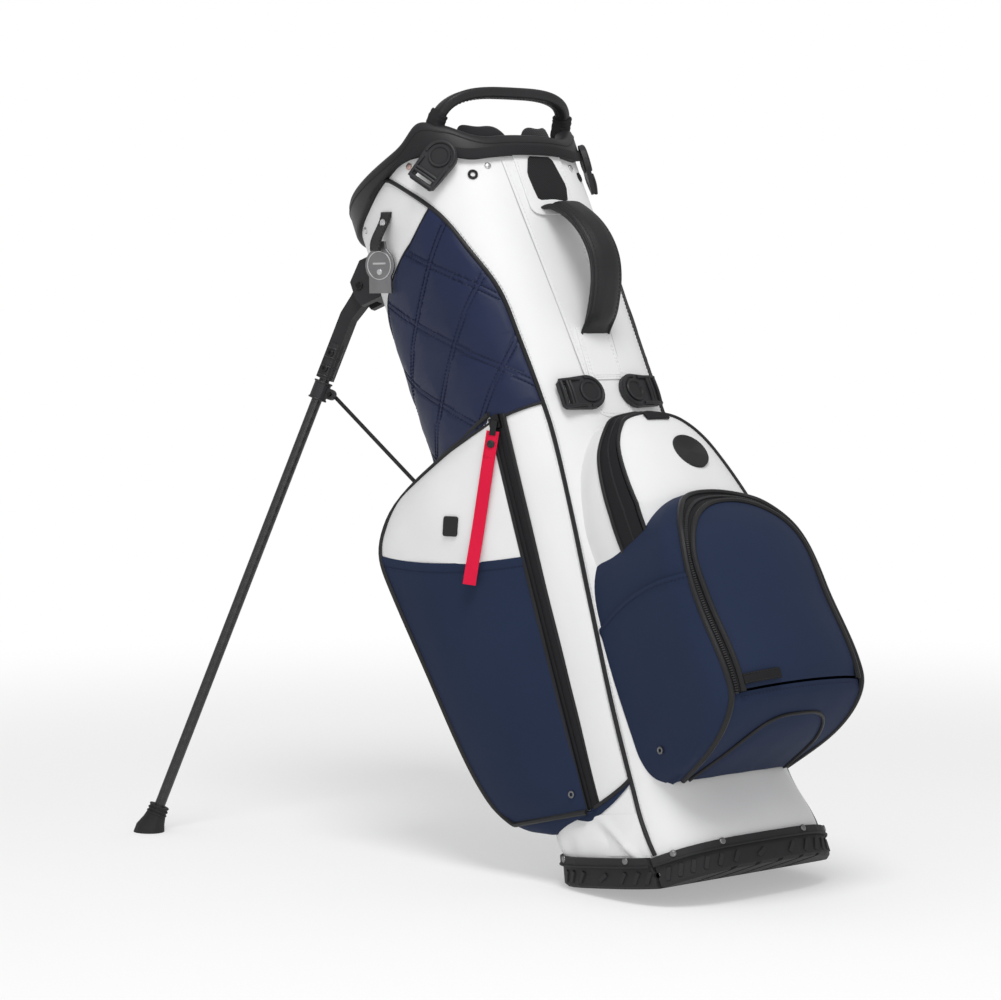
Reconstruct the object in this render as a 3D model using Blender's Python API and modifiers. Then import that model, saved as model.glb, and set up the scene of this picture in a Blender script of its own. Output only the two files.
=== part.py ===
"""Golf stand bag: a fabric body on a split base, with two legs that swing out as the bag leans.

The world's origin is in the middle of the strip of the flap's sole that lies on the ground. The bag
frame has its origin low on the body's axis, z along the body, +x to the spine and -x to the legs.
"""

import math

import bmesh
import bpy
from mathutils import Matrix, Vector

# Clearances
GAP = 0.0003
SEAT_GAP = 0.0005
RUNNING_GAP = 0.0004
MERGE = 0.00005

# Stance: lean of the body, tilt of the flap, the bag frame above the ground, and the base hinge above
# the ground, above the sole and off the body's axis
LEAN_DEG = 26.5
FLAP_TILT_DEG = 7.5
AXIS_HEIGHT = 0.020
HINGE_HEIGHT = 0.0345
HINGE_DROP = 0.0145
HINGE_SPINE = 0.083

# Body outline: reach to the spine, to the legs and to the sides at the base, waist and mouth
BASE_SPINE = 0.124
BASE_LEG = 0.102
BASE_SIDE = 0.1385
BASE_POWER = 3.2
WAIST_HEIGHT = 0.075
WAIST_SPINE = 0.114
WAIST_LEG = 0.090
WAIST_SIDE = 0.128
HIP_HEIGHT = 0.300
HIP_LEG = 0.1135
MOUTH_SPINE = 0.112
MOUTH_LEG = 0.149
MOUTH_SIDE = 0.126
MOUTH_POWER = 2.4
BODY_HEIGHT = 0.848
FABRIC = 0.004
RING_POINTS = 40

# Split base
FLOOR = 0.008
CUP_WALL = 0.003
RIM_HEIGHT = 0.034
BAND_HEIGHT = 0.010
BAND_PROUD = 0.0025
SKIRT_GAP = 0.002
SOLE_CHAMFER = 0.003
HINGE_CLEAR = 0.001
KNUCKLE_RADIUS = 0.0055
KNUCKLE_COUNT = 5
HINGE_INSET = 0.024
HINGE_PIN_RADIUS = 0.003
TREAD_COUNT = 5
TREAD_WIDTH = 0.006
TREAD_DEPTH = 0.0025
TREAD_PITCH = 0.034
TREAD_SKEW_DEG = 35

# Collar, dividers and top handle
COLLAR_SKIRT = 0.016
COLLAR_RISE = 0.016
COLLAR_SIDE_LIFT = 0.022
COLLAR_PROUD = 0.0065
COLLAR_THICKNESS = 0.010
COLLAR_ROUND = 0.006
COLLAR_LIP_DROP = 0.015
DIVIDER_BAR = 0.010
DIVIDER_TALL = 0.024
PANEL_THICKNESS = 0.0025
PANEL_FOOT = 0.100
PANEL_INSET = 0.010
LIP_RISE = 0.020
LIP_THICKNESS = 0.007
LIP_STEPS = 4
STAY_RADIUS = 0.004
STAY_ANGLE_DEG = 24
GRAB_RADIUS = 0.0065
GRAB_RISE = 0.040
GRAB_LEAN = 0.017
GRAB_INSET = 0.0075
GRAB_ROOT_ANGLE_DEG = 52

# Carry handle on the spine
CARRY_DROP = 0.078
CARRY_LENGTH = 0.165
CARRY_WIDTH = 0.036
CARRY_THICKNESS = 0.013
CARRY_STANDOFF = 0.050

# Ball pocket and its drop panel
BALL_FOOT = 0.066
BALL_HEAD = 0.366
BALL_REACH = 0.252
BALL_HALF_WIDTH = 0.105
BALL_CROWN = 0.014
BALL_WALL = 0.005
DROP_FOOT = 0.120
DROP_HEAD = 0.328
DROP_HALF_WIDTH = 0.082
DROP_TOP_ROUND = 0.050
DROP_CLEAR = 0.0008
DROP_PULL_LENGTH = 0.046
DROP_PULL_WIDTH = 0.014

# Upper pocket
UPPER_HEAD = 0.498
UPPER_REACH = 0.196
UPPER_HALF_WIDTH = 0.090

# Side pockets
SIDE_FOOT = 0.030
SIDE_HEAD = 0.575
SIDE_EDGE_X = 0.150
SIDE_EDGE_Y = 0.165
SIDE_CORNER_X = 0.0734
SIDE_CORNER_Y = 0.1024
SIDE_CROWN = 0.012
SIDE_FLOOR = 0.0748
SIDE_FLOOR_SLOPE = -0.218
SIDE_TOP_SLOPE = 0.25
ZIP_HEAD_X = 0.052
ZIP_FOOT_X = 0.020
ZIP_HEAD = 0.540
ZIP_FOOT = 0.100
ZIP_HALF_WIDTH = 0.007
ZIP_PROUD = 0.003
SLIDER_LENGTH = 0.016
SLIDER_WIDTH = 0.010
SLIDER_THICKNESS = 0.004
RIBBON_LENGTH = 0.175
RIBBON_WIDTH = 0.014
RIBBON_THICKNESS = 0.0012
RIBBON_FLARE = 0.20

# Hip pad between the legs
PAD_FOOT = 0.330
PAD_HEAD = 0.600
PAD_HALF_WIDTH = 0.044
PAD_THICKNESS = 0.012

# Legs and lift linkage
LEG_HINGE_X = 0.145
LEG_HINGE_Y = 0.085
LEG_HINGE_DROP = 0.058
LEG_PLANE_DEG = 25.6
LEG_OPEN_DEG = 42.6
BRACKET_HALF_WIDTH = 0.017
BRACKET_TOP = 0.030
BRACKET_FOOT = 0.024
BRACKET_FRONT = 0.010
PIVOT_PIN_RADIUS = 0.0025
PIVOT_HEAD_RADIUS = 0.005
PIVOT_HEAD = 0.0025
ARM_HEAD_RADIUS = 0.010
ARM_HALF_THICKNESS = 0.0075
ARM_HALF_WIDTH = 0.0088
ARM_LENGTH = 0.120
TUBE_OFFSET = 0.008
TUBE_RADIUS = 0.0065
TUBE_WALL = 0.0012
TUBE_GRIP = 0.045
CLAMP_BELOW_ARM = 0.004
CLAMP_HALF_HEIGHT = 0.011
CLAMP_RADIUS = 0.0105
EAR_OFFSET = 0.016
EAR_RADIUS = 0.0065
EAR_HALF_THICKNESS = 0.003
FOOT_TALL = 0.034
FOOT_TOP_RADIUS = 0.0105
FOOT_SOLE_RADIUS = 0.017
ROD_RADIUS = 0.0025
ROD_TILT_DEG = 26.0
ROD_SIDE = 0.0075
ROD_INSET = 0.012
ROD_HOOK = 0.007
LINK_SIDE = 0.0135
LINK_HALF_THICKNESS = 0.0032
LINK_HALF_WIDTH = 0.009
LINK_TOP = 0.0190
LINK_FOOT = 0.0150
LINK_WALL = 0.0032
WIRE_RADIUS = 0.002
WIRE_BAR_HALF = 0.052
WIRE_BEND = 0.012
WIRE_BAR_REACH = 0.009
WIRE_BAR_RISE = 0.004
LUG_Y = 0.028
LUG_HALF_WIDTH = 0.008
LUG_TOP = 0.010
LUG_GROUND = 0.0008

# Strap clips: disc riveted to the body, swivelling body round it
CLIP_DISC_RADIUS = 0.0135
CLIP_DISC_TALL = 0.0085
CLIP_BODY_LIFT = 0.0015
CLIP_BODY_THICKNESS = 0.0055
CLIP_RING_RADIUS = 0.0205
CLIP_TAIL = 0.040
CLIP_TAIL_HALF = 0.018
CLIP_TOP_ANGLE_DEG = 52
CLIP_MID_HEIGHT = 0.530
CLIP_MID_Y = 0.034

# Hanging tag
TAG_DROP = 0.042
TAG_ANGLE_DEG = 99
TAG_TAB_LENGTH = 0.034
TAG_TAB_WIDTH = 0.016
TAG_TAB_THICKNESS = 0.0025
TAG_POST_RADIUS = 0.003
TAG_RADIUS = 0.0165
TAG_LENGTH = 0.080
TAG_END_WIDTH = 0.024
TAG_THICKNESS = 0.0035

LEAN = math.radians(LEAN_DEG)
FLAP_TILT = math.radians(FLAP_TILT_DEG)
FOLD = LEAN - FLAP_TILT
FLAP_END = -(HINGE_SPINE + BASE_LEG)
STRIP = (HINGE_HEIGHT - HINGE_DROP * math.cos(FLAP_TILT)) / math.sin(FLAP_TILT)
HINGE_X = (STRIP - FLAP_END) / 2 * math.cos(FLAP_TILT) - HINGE_DROP * math.sin(FLAP_TILT)
HINGE_Z = (HINGE_HEIGHT - AXIS_HEIGHT - HINGE_SPINE * math.sin(LEAN)) / math.cos(LEAN)
FLOOR_TOP = FLOOR - HINGE_DROP
RIM = RIM_HEIGHT - HINGE_DROP
COLLAR_FOOT = BODY_HEIGHT - COLLAR_SKIRT
COLLAR_SPINE_RIM = BODY_HEIGHT + COLLAR_RISE
CARRY_HEAD = BODY_HEIGHT - CARRY_DROP
CARRY_FOOT = CARRY_HEAD - CARRY_LENGTH
LEG_HINGE_HEIGHT = BODY_HEIGHT - LEG_HINGE_DROP
CLAMP_DISTANCE = ARM_LENGTH + CLAMP_BELOW_ARM + CLAMP_HALF_HEIGHT
TAG_HEIGHT = BODY_HEIGHT - TAG_DROP
CUP_OUT = GAP + CUP_WALL
BAND_OUT = CUP_OUT + BAND_PROUD
UP = Vector((0, 0, 1))

NAVY = (0.030, 0.036, 0.075)
WHITE = (0.80, 0.80, 0.80)
BLACK = (0.018, 0.018, 0.020)
GREY = (0.22, 0.22, 0.22)
STEEL = (0.55, 0.55, 0.56)
RED = (0.70, 0.008, 0.045)

for old in list(bpy.data.objects):
    bpy.data.objects.remove(old, do_unlink=True)
PARTS = bpy.data.collections.new("golf_stand_bag")
CUTTERS = bpy.data.collections.new("cutters")
bpy.context.scene.collection.children.link(PARTS)
bpy.context.scene.collection.children.link(CUTTERS)


# Objects, materials and frames

def finish(name, colour, roughness, metallic):
    material = bpy.data.materials.new(name + "_finish")
    material.use_nodes = True
    shader = material.node_tree.nodes["Principled BSDF"]
    shader.inputs["Base Color"].default_value = (*colour, 1)
    shader.inputs["Roughness"].default_value = roughness
    shader.inputs["Metallic"].default_value = metallic
    return material


def add_part(name, bm, parent, colour=BLACK, roughness=0.5, metallic=0.0):
    mesh = bpy.data.meshes.new(name)
    bm.to_mesh(mesh)
    bm.free()
    mesh.shade_smooth()
    mesh.set_sharp_from_angle(angle=math.radians(35))
    mesh.materials.append(finish(name, colour, roughness, metallic))
    part = bpy.data.objects.new(name, mesh)
    part.parent = parent
    PARTS.objects.link(part)
    return part


def add_cutter(name, bm, parent):
    mesh = bpy.data.meshes.new(name)
    bm.to_mesh(mesh)
    bm.free()
    cutter = bpy.data.objects.new(name, mesh)
    cutter.parent = parent
    cutter.hide_render = True
    cutter.display_type = "WIRE"
    CUTTERS.objects.link(cutter)
    return cutter


def boolean(part, tool, operation):
    modifier = part.modifiers.new(operation.lower() + "_" + tool.name, "BOOLEAN")
    modifier.operation = operation
    modifier.object = tool


def add_empty(name, parent=None, matrix=None):
    empty = bpy.data.objects.new(name, None)
    empty.parent = parent
    if matrix is not None:
        empty.matrix_basis = matrix
    PARTS.objects.link(empty)
    return empty


def into(frame, bm):
    """Carry a mesh built in the bag frame into a frame that hangs on it."""
    bm.transform(frame.matrix_basis.inverted())
    return bm


def axes(origin, x, y, z):
    matrix = Matrix.Identity(4)
    for column, vector in enumerate((x, y, z, origin)):
        for row in range(3):
            matrix[row][column] = vector[row]
    return matrix


# Mesh building

def loft(rings, caps=True, wrap=False, split=False):
    """Skin rings of points: caps close both ends, wrap joins the last ring to the first.

    Split cuts every quad along the same diagonal, so that two skins on the same rings stay parallel.
    """
    bm = bmesh.new()
    rows = [[bm.verts.new(point) for point in ring] for ring in rings]
    pairs = list(zip(rows, rows[1:]))
    if wrap:
        pairs.append((rows[-1], rows[0]))
    for low, high in pairs:
        for corners in zip(low, low[1:] + low[:1], high[1:] + high[:1], high):
            if split:
                bm.faces.new(corners[:3])
                bm.faces.new((corners[0], corners[2], corners[3]))
            else:
                bm.faces.new(corners)
    if caps:
        bm.faces.new(rows[0][::-1])
        bm.faces.new(rows[-1])
    if caps or wrap:
        bmesh.ops.recalc_face_normals(bm, faces=bm.faces)
    return bm


def curve_mesh(data):
    """The welded mesh of a curve, whose caps start loose."""
    holder = bpy.data.objects.new("holder", data)
    PARTS.objects.link(holder)
    evaluated = holder.evaluated_get(bpy.context.evaluated_depsgraph_get())
    mesh = bpy.data.meshes.new_from_object(evaluated)
    bpy.data.objects.remove(holder)
    bm = bmesh.new()
    bm.from_mesh(mesh)
    bpy.data.meshes.remove(mesh)
    bmesh.ops.remove_doubles(bm, verts=bm.verts, dist=MERGE)
    bmesh.ops.recalc_face_normals(bm, faces=bm.faces)
    return bm


def plate(outline, thickness):
    """A flat outline in XY with its thickness centred on the plane."""
    data = bpy.data.curves.new("outline", "CURVE")
    data.dimensions = "2D"
    data.fill_mode = "BOTH"
    data.extrude = thickness / 2
    spline = data.splines.new("POLY")
    spline.points.add(len(outline) - 1)
    for point, (u, v) in zip(spline.points, outline):
        point.co = (u, v, 0, 1)
    spline.use_cyclic_u = True
    return curve_mesh(data)


def round_wire(points, radius):
    """A round wire along points, with filled ends."""
    data = bpy.data.curves.new("wire", "CURVE")
    data.dimensions = "3D"
    data.bevel_depth = radius
    data.bevel_resolution = 2
    data.use_fill_caps = True
    spline = data.splines.new("POLY")
    spline.points.add(len(points) - 1)
    for point, place in zip(spline.points, points):
        point.co = (*place, 1)
    return curve_mesh(data)


def block(low, high):
    bm = bmesh.new()
    bmesh.ops.create_cube(bm, size=1)
    low, high = Vector(low), Vector(high)
    size = high - low
    bm.transform(Matrix.Translation((low + high) / 2) @ Matrix.Diagonal((*size, 1)))
    return bm


def cylinder(start, end, radius, end_radius=None, sides=16):
    start, end = Vector(start), Vector(end)
    bm = bmesh.new()
    far = radius if end_radius is None else end_radius
    length = (end - start).length
    bmesh.ops.create_cone(bm, cap_ends=True, segments=sides, radius1=radius, radius2=far, depth=length)
    turn = UP.rotation_difference(end - start).to_matrix().to_4x4()
    bm.transform(Matrix.Translation((start + end) / 2) @ turn)
    return bm


def join(*pieces):
    """Several bodies in one mesh, for a tool that cuts or adds all of them."""
    bm = bmesh.new()
    for piece in pieces:
        mesh = bpy.data.meshes.new("piece")
        piece.to_mesh(mesh)
        piece.free()
        bm.from_mesh(mesh)
        bpy.data.meshes.remove(mesh)
    return bm


def trim(bm, point, normal):
    """Cut away what lies beyond a plane and close the cut."""
    everything = bm.verts[:] + bm.edges[:] + bm.faces[:]
    bmesh.ops.bisect_plane(bm, geom=everything, plane_co=point, plane_no=normal, clear_outer=True)
    rim = [edge for edge in bm.edges if edge.is_boundary]
    bmesh.ops.holes_fill(bm, edges=rim, sides=0)
    bmesh.ops.recalc_face_normals(bm, faces=bm.faces)


def turned(name, profile, parent, matrix, colour, roughness, metallic=0.0, sides=20):
    """A turned piece: a profile of radius and height, down its outer side, spun about its own z."""
    bm = bmesh.new()
    points = [bm.verts.new((radius, 0, height)) for radius, height in profile]
    for first, second in zip(points, points[1:]):
        bm.edges.new((first, second))
    part = add_part(name, bm, parent, colour, roughness, metallic)
    part.matrix_basis = matrix
    spin = part.modifiers.new("spin", "SCREW")
    spin.axis = "Z"
    spin.steps = sides
    spin.render_steps = sides
    spin.use_merge_vertices = True
    spin.merge_threshold = MERGE
    return part


# Body outline

def mix(first, second, share):
    return first + (second - first) * share


def ease(share):
    share = min(max(share, 0), 1)
    return share * share * (3 - 2 * share)


def half_sizes(height):
    base = (BASE_SPINE, BASE_LEG, BASE_SIDE, BASE_POWER)
    waist = (WAIST_SPINE, WAIST_LEG, WAIST_SIDE, BASE_POWER)
    mouth = (MOUTH_SPINE, MOUTH_LEG, MOUTH_SIDE, MOUTH_POWER)
    if height < WAIST_HEIGHT:
        share = ease(height / WAIST_HEIGHT)
        return [mix(a, b, share) for a, b in zip(base, waist)]
    share = (height - WAIST_HEIGHT) / (BODY_HEIGHT - WAIST_HEIGHT)
    sizes = [mix(a, b, share) for a, b in zip(waist, mouth)]
    if height < HIP_HEIGHT:
        sizes[1] = mix(WAIST_LEG, HIP_LEG, (height - WAIST_HEIGHT) / (HIP_HEIGHT - WAIST_HEIGHT))
    else:
        sizes[1] = mix(HIP_LEG, MOUTH_LEG, (height - HIP_HEIGHT) / (BODY_HEIGHT - HIP_HEIGHT))
    return sizes


def outline_point(height, angle, offset=0.0):
    """A point of the body's outline at a height, 0 degrees at the spine and 90 at the far side."""
    spine, leg, side, power = half_sizes(height)
    c, s = math.cos(angle), math.sin(angle)
    reach = (spine if c > 0 else leg) + offset
    x = math.copysign(abs(c) ** (2 / power), c) * reach
    y = math.copysign(abs(s) ** (2 / power), s) * (side + offset)
    return Vector((x, y, height))


def outline_ring(height, offset=0.0, z=None):
    ring = [outline_point(height, math.tau * k / RING_POINTS, offset) for k in range(RING_POINTS)]
    if z is not None:
        for point in ring:
            point.z = z
    return ring


def side_reach(height, x):
    """How far the outline reaches sideways at x."""
    spine, leg, side, power = half_sizes(height)
    share = abs(x) / (spine if x > 0 else leg)
    return side * (1 - min(share, 1) ** power) ** (1 / power)


def spine_angle(height, y):
    """The outline angle on the spine side whose sideways place is y."""
    side, power = half_sizes(height)[2:]
    return math.copysign(math.asin((abs(y) / side) ** (power / 2)), y)


def surface_frame(height, angle):
    """Axes on the body: x round it, y up it, z out of it."""
    step = 0.02
    around = outline_point(height, angle + step) - outline_point(height, angle - step)
    rise = outline_point(height + step, angle) - outline_point(height - step, angle)
    out = around.cross(rise).normalized()
    around.normalize()
    return axes(outline_point(height, angle), around, out.cross(around), out)


FLAP_MATRIX = Matrix.Translation((HINGE_X, 0, HINGE_HEIGHT)) @ Matrix.Rotation(-FLAP_TILT, 4, "Y")
HINGE_MATRIX = Matrix.Translation((HINGE_SPINE, 0, HINGE_Z))
BAG_MATRIX = FLAP_MATRIX @ Matrix.Rotation(-FOLD, 4, "Y") @ HINGE_MATRIX.inverted()
BAG = add_empty("bag_frame", matrix=BAG_MATRIX)
CUP = add_empty("cup_frame", BAG, HINGE_MATRIX)
FLAP = add_empty("flap_frame", matrix=FLAP_MATRIX)

WORLD_DOWN = BAG_MATRIX.to_3x3().inverted() @ -UP


# Body shell and split base

def shell_foot(angle):
    """Height of the shell's lower edge: down to the cup's floor, but clear of the flap's rim."""
    if outline_point(0, angle).x > HINGE_SPINE:
        return HINGE_Z + FLOOR_TOP + GAP
    height = WAIST_HEIGHT
    for _ in range(6):
        along = outline_point(height, angle).x - HINGE_SPINE
        height = HINGE_Z + (RIM + SKIRT_GAP - along * math.sin(FOLD)) / math.cos(FOLD)
    return height


def shell_rings(offset=0.0):
    shares = (0, 0.03, 0.06, 0.10, 0.2, 0.33, 0.47, 0.6, 0.75, 0.88, 1)
    angles = [math.tau * k / RING_POINTS for k in range(RING_POINTS)]
    rings = []
    for share in shares:
        heights = [mix(shell_foot(angle), BODY_HEIGHT, share) for angle in angles]
        rings.append([outline_point(h, angle, offset) for h, angle in zip(heights, angles)])
    return rings


def make_shell():
    shell = add_part("bag_shell", loft(shell_rings(), caps=False, split=True), BAG, WHITE, 0.45)
    wall = shell.modifiers.new("fabric", "SOLIDIFY")
    wall.thickness = FABRIC
    wall.offset = -1


def body_envelope():
    """The body's outside with a seating gap, carried down past the base, to seat what sits on it."""
    rings = shell_rings(SEAT_GAP)
    below = [Vector((point.x, point.y, HINGE_Z - HINGE_DROP)) for point in rings[0]]
    return loft([below] + rings, split=True)


ENVELOPE = add_cutter("body_envelope", body_envelope(), BAG)


def tray():
    """The whole base tray about its hinge, with a trim band round its rim, for its two halves."""
    steps = [(CUP_OUT - SOLE_CHAMFER, -HINGE_DROP), (CUP_OUT, SOLE_CHAMFER - HINGE_DROP),
             (CUP_OUT, RIM - BAND_HEIGHT), (BAND_OUT, RIM - BAND_HEIGHT), (BAND_OUT, RIM),
             (GAP, RIM), (GAP, FLOOR_TOP)]
    bm = loft([outline_ring(0, offset, z) for offset, z in steps])
    bm.transform(Matrix.Translation((-HINGE_SPINE, 0, 0)))
    return bm


KNUCKLE_PITCH = 2 * (side_reach(0, HINGE_SPINE) - HINGE_INSET) / KNUCKLE_COUNT


def knuckles(side, first):
    """Hinge knuckles on one half: barrels round the pin, each on a web that stands on the floor."""
    arc = [math.radians(angle) for angle in range(15, 271, 15)]
    outline = [(KNUCKLE_RADIUS, FLOOR_TOP - FLOOR / 4), (KNUCKLE_RADIUS, 0)]
    outline += [(KNUCKLE_RADIUS * math.cos(a), KNUCKLE_RADIUS * math.sin(a)) for a in arc]
    outline.append((HINGE_CLEAR, FLOOR_TOP - FLOOR / 4))
    barrels = []
    for k in range(first, KNUCKLE_COUNT, 2):
        barrel = plate([(side * u, v) for u, v in outline], KNUCKLE_PITCH - 2 * GAP)
        place = Matrix.Translation((0, (k - (KNUCKLE_COUNT - 1) / 2) * KNUCKLE_PITCH, 0))
        barrel.transform(place @ Matrix.Rotation(math.pi / 2, 4, "X"))
        barrels.append(barrel)
    return join(*barrels)


def treads():
    """Slanted grooves across the sole of the tilted half."""
    skew = Matrix.Rotation(math.radians(TREAD_SKEW_DEG), 4, "Z")
    grooves = []
    for k in range(TREAD_COUNT):
        groove = block((-2 * BASE_SPINE, -TREAD_WIDTH / 2, -HINGE_DROP - TREAD_DEPTH),
                       (2 * BASE_SPINE, TREAD_WIDTH / 2, -HINGE_DROP + TREAD_DEPTH))
        across = (k - (TREAD_COUNT - 1) / 2) * TREAD_PITCH
        groove.transform(Matrix.Translation(((BASE_SPINE - HINGE_SPINE) / 2, across, 0)) @ skew)
        grooves.append(groove)
    return join(*grooves)


def flap_ground(clearance):
    """The plane at a clearance above the ground, in the flap's frame, facing down."""
    back = FLAP_MATRIX.inverted()
    return back @ (UP * clearance), back.to_3x3() @ -UP


def make_base():
    hinge_half = KNUCKLE_COUNT * KNUCKLE_PITCH / 2
    hole = cylinder((0, -BASE_SIDE, 0), (0, BASE_SIDE, 0), HINGE_PIN_RADIUS + RUNNING_GAP)
    hole = add_cutter("hinge_pin_hole", hole, FLAP)
    cup = tray()
    trim(cup, (HINGE_CLEAR, 0, 0), (-1, 0, 0))
    cup = add_part("base_cup", cup, CUP, BLACK, 0.6)
    boolean(cup, add_cutter("cup_knuckles", knuckles(1, 0), CUP), "UNION")
    boolean(cup, hole, "DIFFERENCE")
    boolean(cup, add_cutter("sole_grooves", treads(), CUP), "DIFFERENCE")
    flap = tray()
    trim(flap, (-HINGE_CLEAR, 0, 0), (1, 0, 0))
    trim(flap, (-HINGE_CLEAR * math.cos(FOLD), 0, 0), (math.cos(FOLD), 0, math.sin(FOLD)))
    trim(flap, *flap_ground(0))
    flap = add_part("base_flap", flap, FLAP, BLACK, 0.6)
    boolean(flap, add_cutter("flap_knuckles", knuckles(-1, 1), FLAP), "UNION")
    boolean(flap, hole, "DIFFERENCE")
    boolean(flap, add_cutter("wire_lugs", wire_lugs(), FLAP), "UNION")
    boolean(flap, add_cutter("wire_slots", wire_slots(), FLAP), "DIFFERENCE")
    pin = cylinder((0, -hinge_half, 0), (0, hinge_half, 0), HINGE_PIN_RADIUS)
    add_part("flap_hinge_pin", pin, CUP, STEEL, 0.3, 1.0)


# Lift wire: its bar lies in two lugs on the leg side of the flap

BAR_X = FLAP_END - BAND_OUT - WIRE_BAR_REACH


def wire_lugs():
    front = BAR_X - WIRE_BAR_REACH
    lugs = []
    for side in (-1, 1):
        middle = side * LUG_Y
        lug = block((front, middle - LUG_HALF_WIDTH, -HINGE_DROP),
                    (FLAP_END - CUP_WALL / 2, middle + LUG_HALF_WIDTH, LUG_TOP))
        trim(lug, *flap_ground(LUG_GROUND))
        lugs.append(lug)
    return join(*lugs)


def wire_slots():
    """The bar's slots, long enough inwards for its path as the flap turns."""
    back = BAR_X - WIRE_RADIUS - GAP
    front = FLAP_END - BAND_OUT
    floor = WIRE_BAR_RISE - WIRE_RADIUS - GAP
    reach = LUG_Y + 2 * LUG_HALF_WIDTH
    return block((back, -reach, floor), (front, reach, LUG_TOP + FLOOR))


# Collar, dividers, stays and top handle

def rim_top(angle):
    """Height of the collar's rim: low over the spine, raised along the sides and the legs."""
    share = 1 - ease((math.cos(angle) - 0.7) / 0.25)
    return COLLAR_SPINE_RIM + COLLAR_SIDE_LIFT * share


COLLAR_INSIDE = FABRIC + GAP + COLLAR_THICKNESS


def collar_ring(offset, low_height=None, below_rim=None, section=BODY_HEIGHT):
    ring = []
    for k in range(RING_POINTS):
        angle = math.tau * k / RING_POINTS
        point = outline_point(section, angle, offset)
        point.z = low_height if below_rim is None else rim_top(angle) - below_rim
        ring.append(point)
    return ring


def make_collar():
    rings = [collar_ring(GAP, COLLAR_FOOT), collar_ring(COLLAR_PROUD - 0.002, COLLAR_FOOT),
             collar_ring(COLLAR_PROUD, COLLAR_FOOT + 0.006), collar_ring(COLLAR_PROUD, below_rim=0.010),
             collar_ring(COLLAR_PROUD - 0.004, below_rim=0.002), collar_ring(-FABRIC / 2, below_rim=0),
             collar_ring(COLLAR_ROUND / 2 - COLLAR_INSIDE, below_rim=GAP),
             collar_ring(-COLLAR_INSIDE, below_rim=COLLAR_ROUND),
             collar_ring(-COLLAR_INSIDE, BODY_HEIGHT - COLLAR_LIP_DROP),
             collar_ring(-FABRIC - GAP, BODY_HEIGHT - COLLAR_LIP_DROP, section=BODY_HEIGHT - COLLAR_LIP_DROP),
             collar_ring(-FABRIC - GAP, BODY_HEIGHT + GAP), collar_ring(GAP, BODY_HEIGHT + GAP)]
    add_part("collar", loft(rings, caps=False, wrap=True), BAG, BLACK, 0.55)


def cross(spine, leg, side, bar, foot, head):
    """A plus of two upright panels, reaching to the spine, to the legs and to both sides."""
    half = bar / 2
    arms = [(spine, half), (half, half), (half, side), (-half, side), (-half, half), (-leg, half),
            (-leg, -half), (-half, -half), (-half, -side), (half, -side), (half, -half), (spine, -half)]
    bm = plate(arms, head - foot)
    bm.transform(Matrix.Translation((0, 0, (foot + head) / 2)))
    return bm


def make_dividers():
    inside = -COLLAR_INSIDE - GAP
    head = COLLAR_SPINE_RIM
    foot = head - DIVIDER_TALL
    grid = cross(MOUTH_SPINE + inside - GAP, MOUTH_LEG + inside - GAP, MOUTH_SIDE + inside - GAP,
                 DIVIDER_BAR, foot, head)
    add_part("top_divider", grid, BAG, BLACK, 0.8)
    waist = (WAIST_SPINE, WAIST_LEG, WAIST_SIDE)
    mouth = (MOUTH_SPINE, MOUTH_LEG, MOUTH_SIDE)
    reach = [min(low - FABRIC, high - COLLAR_INSIDE) - PANEL_INSET for low, high in zip(waist, mouth)]
    panels = cross(*reach, PANEL_THICKNESS, PANEL_FOOT, foot - GAP)
    add_part("club_divider_panels", panels, BAG, GREY, 0.9)
    for name, side in (("putter_lip_near", -1), ("putter_lip_far", 1)):
        add_part(name, arc_wall(side, inside, head + LIP_RISE), BAG, BLACK, 0.8)


def arc_wall(side, outside, crest):
    """An upright lip inside the collar, from the divider's bar round one corner, highest at the bar."""
    foot = BODY_HEIGHT - COLLAR_LIP_DROP
    first = abs(spine_angle(BODY_HEIGHT, 0.7 * DIVIDER_BAR))
    rings = []
    for k in range(LIP_STEPS + 1):
        angle = side * (math.tau * k / RING_POINTS if k else first)
        top = mix(crest, COLLAR_SPINE_RIM, ease(k / LIP_STEPS))
        ring = []
        for offset, z in ((outside, foot), (outside, top), (outside - LIP_THICKNESS, top),
                          (outside - LIP_THICKNESS, foot)):
            point = outline_point(BODY_HEIGHT, angle, offset)
            point.z = z
            ring.append(point)
        rings.append(ring)
    return loft(rings)


def make_stays():
    """Two stays inside the spine corners, from the cup's floor to the collar's inner lip."""
    for name, side in (("stay_near", -1), ("stay_far", 1)):
        angle = side * math.radians(STAY_ANGLE_DEG)
        inset = -FABRIC - 1.5 * STAY_RADIUS
        waist = outline_point(WAIST_HEIGHT, angle, inset)
        head = outline_point(BODY_HEIGHT, angle, -FABRIC - 1.3 * STAY_RADIUS)
        head.z = BODY_HEIGHT - COLLAR_LIP_DROP - GAP
        slope = (head - waist) / (head.z - waist.z)
        foot = waist + slope * (HINGE_Z + FLOOR_TOP + GAP - waist.z)
        stay = cylinder(foot, head, STAY_RADIUS, sides=12)
        add_part(name, stay, BAG, GREY, 0.5)


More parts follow.
